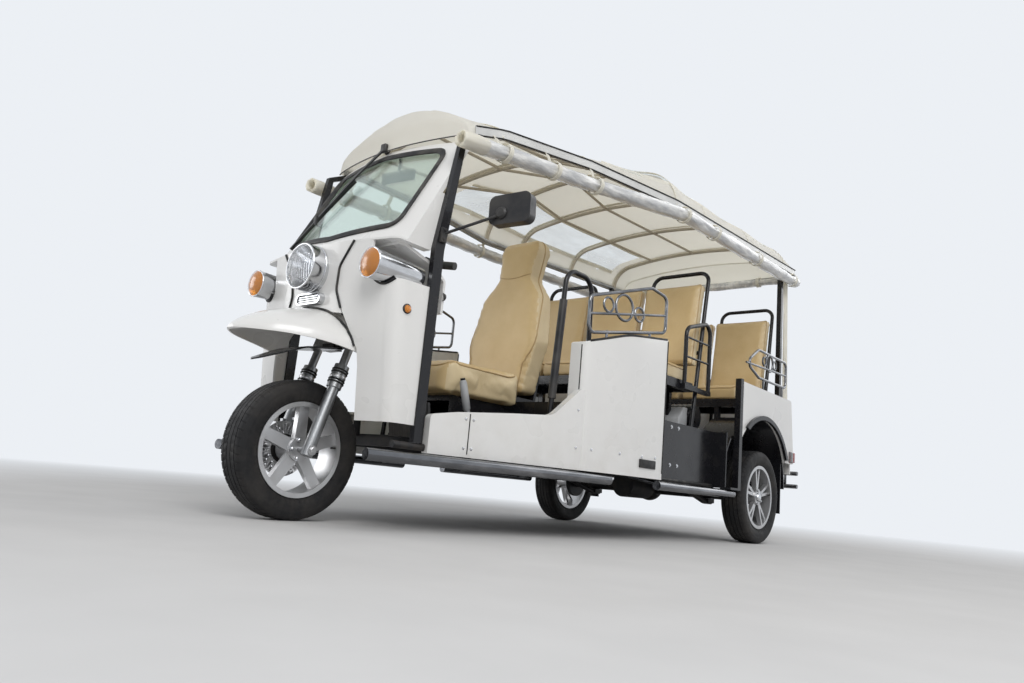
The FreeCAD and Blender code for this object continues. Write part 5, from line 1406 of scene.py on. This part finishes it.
panelSpec = {"topFrom": 1.020, "topLong": 0.560, "topZ": 0.860, "inset": 0.007,
             "oval": disc(0.0105, 14, 0.62),
             "tailStation": 1.588, "tailZ": (0.330, 0.45, 0.60, 0.75, 0.90, 0.985), "seam": 0.0028,
             "sillSeam": 0.0026, "pad": (1.450, 0.365), "padSize": (0.008, 0.145, 0.040)}
screwSpec = {
    "sill": {"at": ((0.418, 0.335), (0.418, 0.450), (0.454, 0.335), (0.454, 0.450), (0.980, 0.395),
                    (0.980, 0.560)),
             "profile": [(-0.001, 0.0065), (0.0015, 0.0062), (0.0030, 0.0040), (0.0032, 0.0004)]},
    "mid": {"at": ((1.401, 0.395), (1.522, 0.400), (1.060, 0.395), (1.230, 0.395)),
            "profile": [(-0.001, 0.0075), (0.0015, 0.0072), (0.0034, 0.0045), (0.0036, 0.0004)]},
    "deck": ((1.836, 0.585), (1.836, 0.387), (1.913, 0.585), (1.913, 0.387)), "bolt": (0.0065, 0.006)}
lipSpec = {"x": 0.652, "castX": 0.645, "up": 0.004, "stations": (1.602, 1.9, 2.318), "radius": 0.0085,
           "post": 1.606, "postTop": 0.600, "postRadius": 0.0060}
midSkin, sillSkin, deckSkin = Skin("mid_panels"), Skin("sill_mouldings"), Skin("passenger_deck")


def addMidTrim(trim, beads, side, inward):
    spec = panelSpec
    starts = [at(side, spec["topFrom"] + spec["topLong"] * step / 32, spec["topZ"]) for step in range(33)]
    outer = midSkin.trace(starts, inward)
    above = [Vector((spot.x - side * spec["inset"], spot.y, 1.3)) for spot in outer]
    trim.sweep(midSkin.trace(above, down), spec["oval"], up)
    tail = midSkin.trace([at(side, spec["tailStation"], z) for z in spec["tailZ"]], inward)
    trim.sweep([spot + Vector((-spec["inset"] * side, 0.002, 0)) for spot in tail], spec["oval"], back)
    upright = [at(side * 0.642, 0.90, 0.62 + 0.24 * step / 12) for step in range(13)]
    beads.tube(midSkin.trace(upright, back), spec["seam"], 8)
    level = [at(side * (0.592 + 0.050 * step / 8), 0.90, 0.620) for step in range(9)]
    beads.tube(midSkin.trace(level, back), spec["seam"], 8)
    joint = [at(side, 0.436, 0.312 + 0.16 * step / 10) for step in range(11)]
    beads.tube(sillSkin.trace(joint, inward), spec["sillSeam"], 8)
    for spot in midSkin.trace([at(side, *spec["pad"])], inward):
        beads.brick(spot - inward * 0.003, spec["padSize"], bevel=0.003)


def addScrews(screws, side, inward):
    for skin, spec in ((sillSkin, screwSpec["sill"]), (midSkin, screwSpec["mid"])):
        for spot in skin.trace([at(side, *place) for place in spec["at"]], inward):
            screws.turn(spec["profile"], spot, -inward, 20)
    for spot in deckSkin.trace([at(side, *place) for place in screwSpec["deck"]], inward):
        screws.bolt(spot, -inward, *screwSpec["bolt"])


def addDeckLip(trim, side):  # along the lower edge of the skirt and up its front
    spec = lipSpec
    for low in deckSkin.trace([at(side * spec["castX"], 1.900, 0.0)], up):
        x, z = side * spec["x"], low.z + spec["up"]
        trim.tube([at(x, station, z) for station in spec["stations"]], spec["radius"], 12)
        trim.tube([at(x, spec["post"], z), at(x, spec["post"], spec["postTop"])], spec["postRadius"], 10)


def addPanelTrim():
    trim, beads, screws = Form(), Form(), Form()
    for side, _ in sides:
        inward = left * -side
        addMidTrim(trim, beads, side, inward)
        addScrews(screws, side, inward)
        addDeckLip(trim, side)
    trim.piece("panelTrim", "rubber", sharp=60)
    beads.piece("panelSeams", "rubber", sharp=50)
    screws.piece("panelScrews", "chrome")


# Lamps on the rear sides, and plastic sleeves on the poles behind the driver

tailSpec = {"z": 0.5475, "x": 0.7733, "size": (0.0150, 0.0340, 0.0640),
            "lenses": (("Pale", "headGlass", 3.1985), ("Red", "red", 3.2325)),
            "bed": (0.7668, 3.2155), "bedSize": (0.0028, 0.0720, 0.0690)}
sleeveSpec = {"low": (0.552, 0.905, 0.378), "high": (0.552, 0.962, 1.215), "from": 0.27, "to": 0.82,
              "radius": 0.0185, "foot": [(0, 0.0125), (0.0, 0.026), (0.008, 0.026), (0.012, 0.0140)]}


def addTailLamps():
    spec = tailSpec
    for side, tag in sides:
        for kind, finish, station in spec["lenses"]:
            lamp = Form().brick(at(side * spec["x"], station, spec["z"]), spec["size"], bevel=0.004)
            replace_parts(lamp.piece("sideLamp" + kind + tag, finish), "tail_lamps")
        x, station = spec["bed"]
        bed = Form().brick(at(side * x, station, spec["z"]), spec["bedSize"], bevel=0.001)
        bed.piece("sideLampBed" + tag, "plastic")


def addPoleSleeves():
    spec = sleeveSpec
    sleeves = Form()
    for side, _ in sides:
        low, high = twin(at(*spec["low"]), side), twin(at(*spec["high"]), side)
        sleeves.rod(low.lerp(high, spec["from"]), low.lerp(high, spec["to"]), spec["radius"], 28)
        sleeves.turn(spec["foot"], low, high - low, 28)
    sleeves.piece("poleSleeves", "plastic")


addRailScrolls()
addPanelTrim()
addTailLamps()
addPoleSleeves()
print("sides dressed")


# Cabin: handbrake, dash knob and gauge, pedals

brakeSpec = {"low": (0.292, 0.706, 0.378), "high": (0.292, 0.612, 0.650), "leverFoot": 0.020,
             "lever": (0.0150, 0.0125), "gripShares": ((0.50, 0.0130), (0.52, 0.0165), (0.74, 0.0175),
                                                       (0.93, 0.0165), (0.97, 0.0120)),
             "button": ((0.97, 0.0060), (1.0, 0.0060)),
             "boot": [(0.0, 0.036), (0.010, 0.034), (0.022, 0.028), (0.032, 0.024), (0.045, 0.0165)]}
dashSpec = {"knob": (0.418, 0.318, 0.932), "gauge": (0, 0.136, 1.094), "gaugeAxis": Vector((0, 0.55, 0.83)),
            "knobProfile": [(0, 0.016), (0.010, 0.015), (0.014, 0.011), (0.0145, 0.0005)],
            "gaugeProfile": [(0, 0.038), (0.012, 0.038), (0.016, 0.035), (0.013, 0.031), (0.0130, 0.0005)]}
pedalSpec = {"pads": ((0.150, 0.060), (0.245, 0.050)), "station": 0.505, "z": 0.445, "tilt": -35,
             "thick": 0.012, "long": 0.085, "ribs": 5, "ribGap": 0.015, "pivot": (0.462, 0.379),
             "armRadius": 0.007}


def addHandbrake():
    spec = brakeSpec
    low, high = at(*spec["low"]), at(*spec["high"])
    along = high - low
    length = along.length
    foot, top = spec["lever"]
    lever = [(spec["leverFoot"], foot), (length * spec["gripShares"][0][0], top)]
    Form().turn(lever, low, along, 20, True).piece("brakeLever", "alloy")
    grip = Form()
    for shares, count in ((spec["gripShares"], 24), (spec["button"], 16)):
        grip.turn([(length * share, radius) for share, radius in shares], low, along, count, True)
    grip.piece("brakeGrip", "grip")
    Form().turn(spec["boot"], low, up, 28).piece("brakeBoot", "rubber")


def addDash():
    spec = dashSpec
    Form().turn(spec["knobProfile"], at(*spec["knob"]), back, 28).piece("dashKnob", "plastic")
    Form().turn(spec["gaugeProfile"], at(*spec["gauge"]), spec["gaugeAxis"], 40).piece("dashGauge", "plastic")


def addPedals():
    spec = pedalSpec
    pedals = Form()
    tilt = Matrix.Rotation(radians(spec["tilt"]), 3, "X")
    for x, wide in spec["pads"]:
        foot = at(x, spec["station"], spec["z"])
        pedals.brick(foot, (wide, spec["thick"], spec["long"]), tilt, 0.003)
        for rib in range(spec["ribs"]):
            place = foot + tilt @ Vector((0, 0.0070, -0.030 + spec["ribGap"] * rib))
            pedals.brick(place, (wide * 0.82, 0.004, 0.005), tilt, 0.001)
        arm = [foot + forward * 0.006, foot + Vector((0, -0.035, 0.005)), at(x, *spec["pivot"])]
        pedals.tube(arm, spec["armRadius"], 10)
    pedals.piece("footPedals", "rubber")


# Dark drum and pale housing that stand on the deck behind the step

drumSpec = {"station": 2.275, "radius": 0.074, "from": 0.300, "to": 0.560, "deck": 0.612, "lift": 0.004,
            "ribs": 6, "ribDepth": 0.965, "endShare": 0.92, "hubShare": 0.46,
            "housing": [(0, 0), (0, 0.050), (0.060, 0.118), (0.100, 0.118), (0.100, 0)],
            "housingPlace": (0.010, -0.180, -0.076), "housingShort": 0.020}


def addDeckUnits():
    spec = drumSpec
    length, radius = spec["to"] - spec["from"], spec["radius"]
    centre = at(spec["from"], spec["station"], spec["deck"] + radius + spec["lift"])
    profile = [(0, radius * 0.5), (0, radius * spec["endShare"]), (0.008, radius)]
    for rib in range(spec["ribs"]):
        start, low = 0.030 + rib * (length - 0.060) / spec["ribs"], radius * spec["ribDepth"]
        profile += [(start, radius), (start + 0.004, low), (start + 0.018, low), (start + 0.022, radius)]
    profile += [(length - 0.008, radius), (length, radius * spec["endShare"]), (length, radius * 0.5),
                (length + 0.010, radius * spec["hubShare"]), (length + 0.010, 0.0005)]
    drum = Form().turn(profile, centre, left, 48)
    drum.brick(centre + Vector((length / 2, 0, -radius)), (length * 0.7, 0.100, 0.008), bevel=0.002)
    drum.piece("deckDrum", "black", sharp=30)
    low = centre + Vector(spec["housingPlace"])
    ends = [[low + Vector((across, along, rise)) for along, rise in spec["housing"]]
            for across in (0.0, length - spec["housingShort"])]
    housing = Form().rows(ends, around=True, caps=True)
    edges = housing.mesh.edges[:]
    bmesh.ops.bevel(housing.mesh, geom=edges, offset=0.006, segments=3, affect="EDGES", profile=0.5)
    housing.piece("deckHousing", "grip", sharp=30)


addHandbrake()
addDash()
addPedals()
addDeckUnits()
print("cabin dressed")


# Studio: pale floor, soft light, pale background

studio = {"floor": (0.60, 0.59, 0.58), "speckle": 0.94, "sky": (0.84, 0.87, 0.91), "fade": (2.6, 7.5),
          "ambient": 0.42, "reach": 40, "aim": (0, 0, 0.8),
          "lamps": {"keyLamp": ((5.0, -4.2, 5.6), 360, 4.5), "fillLamp": ((-5.5, -5.0, 2.4), 110, 3.5),
                    "rearLamp": ((2.0, 5.5, 4.5), 110, 5.0)}}  # place, power, size


def addRoom(spec):
    room = Finish("paleRoom", bpy.data.worlds)
    scene.world = room.owner
    strength = room.ramp(room.rays(), 0, 1, spec["ambient"], 1.0)
    sky = room.node("ShaderNodeBackground", sockets={"Color": spec["sky"], "Strength": strength})
    room.close(sky, "ShaderNodeOutputWorld")


def addFloor(spec):  # fades into the background with distance
    f = Finish("paleFloor")
    darker = tuple(spec["speckle"] * part for part in spec["floor"])
    speckle = f.mix(f.ramp(f.grain(3, 4), 0.3, 0.7), spec["floor"], darker)
    lit = f.node("ShaderNodeBsdfPrincipled", sockets={"Base Color": speckle, "Roughness": 0.85})
    glow = f.node("ShaderNodeEmission", sockets={"Color": spec["sky"], "Strength": 1.0})
    x, y = f.axis("X"), f.axis("Y")
    away = f.ramp((x * x + y * y) ** 0.5, *spec["fade"])
    reach = spec["reach"]
    mesh = bpy.data.meshes.new("studioFloor")
    corners = [(-reach, -reach, 0), (reach, -reach, 0), (reach, reach, 0), (-reach, reach, 0)]
    mesh.from_pydata(corners, [], [(0, 1, 2, 3)])
    mesh.materials.append(f.close(f.blend(away * f.rays(), lit, glow)))
    ground = bpy.data.objects.new("studioFloor", mesh)
    scene.collection.objects.link(ground)


def addLights(spec):
    for name, (place, power, size) in spec["lamps"].items():
        data = bpy.data.lights.new(name, "AREA")
        data.energy, data.size = power, size
        lamp = bpy.data.objects.new(name, data)
        lamp.location = place
        lamp.rotation_euler = (Vector(spec["aim"]) - Vector(place)).to_track_quat("-Z", "Y").to_euler()
        scene.collection.objects.link(lamp)


addRoom(studio)
addFloor(studio)
addLights(studio)
print("studio ready")
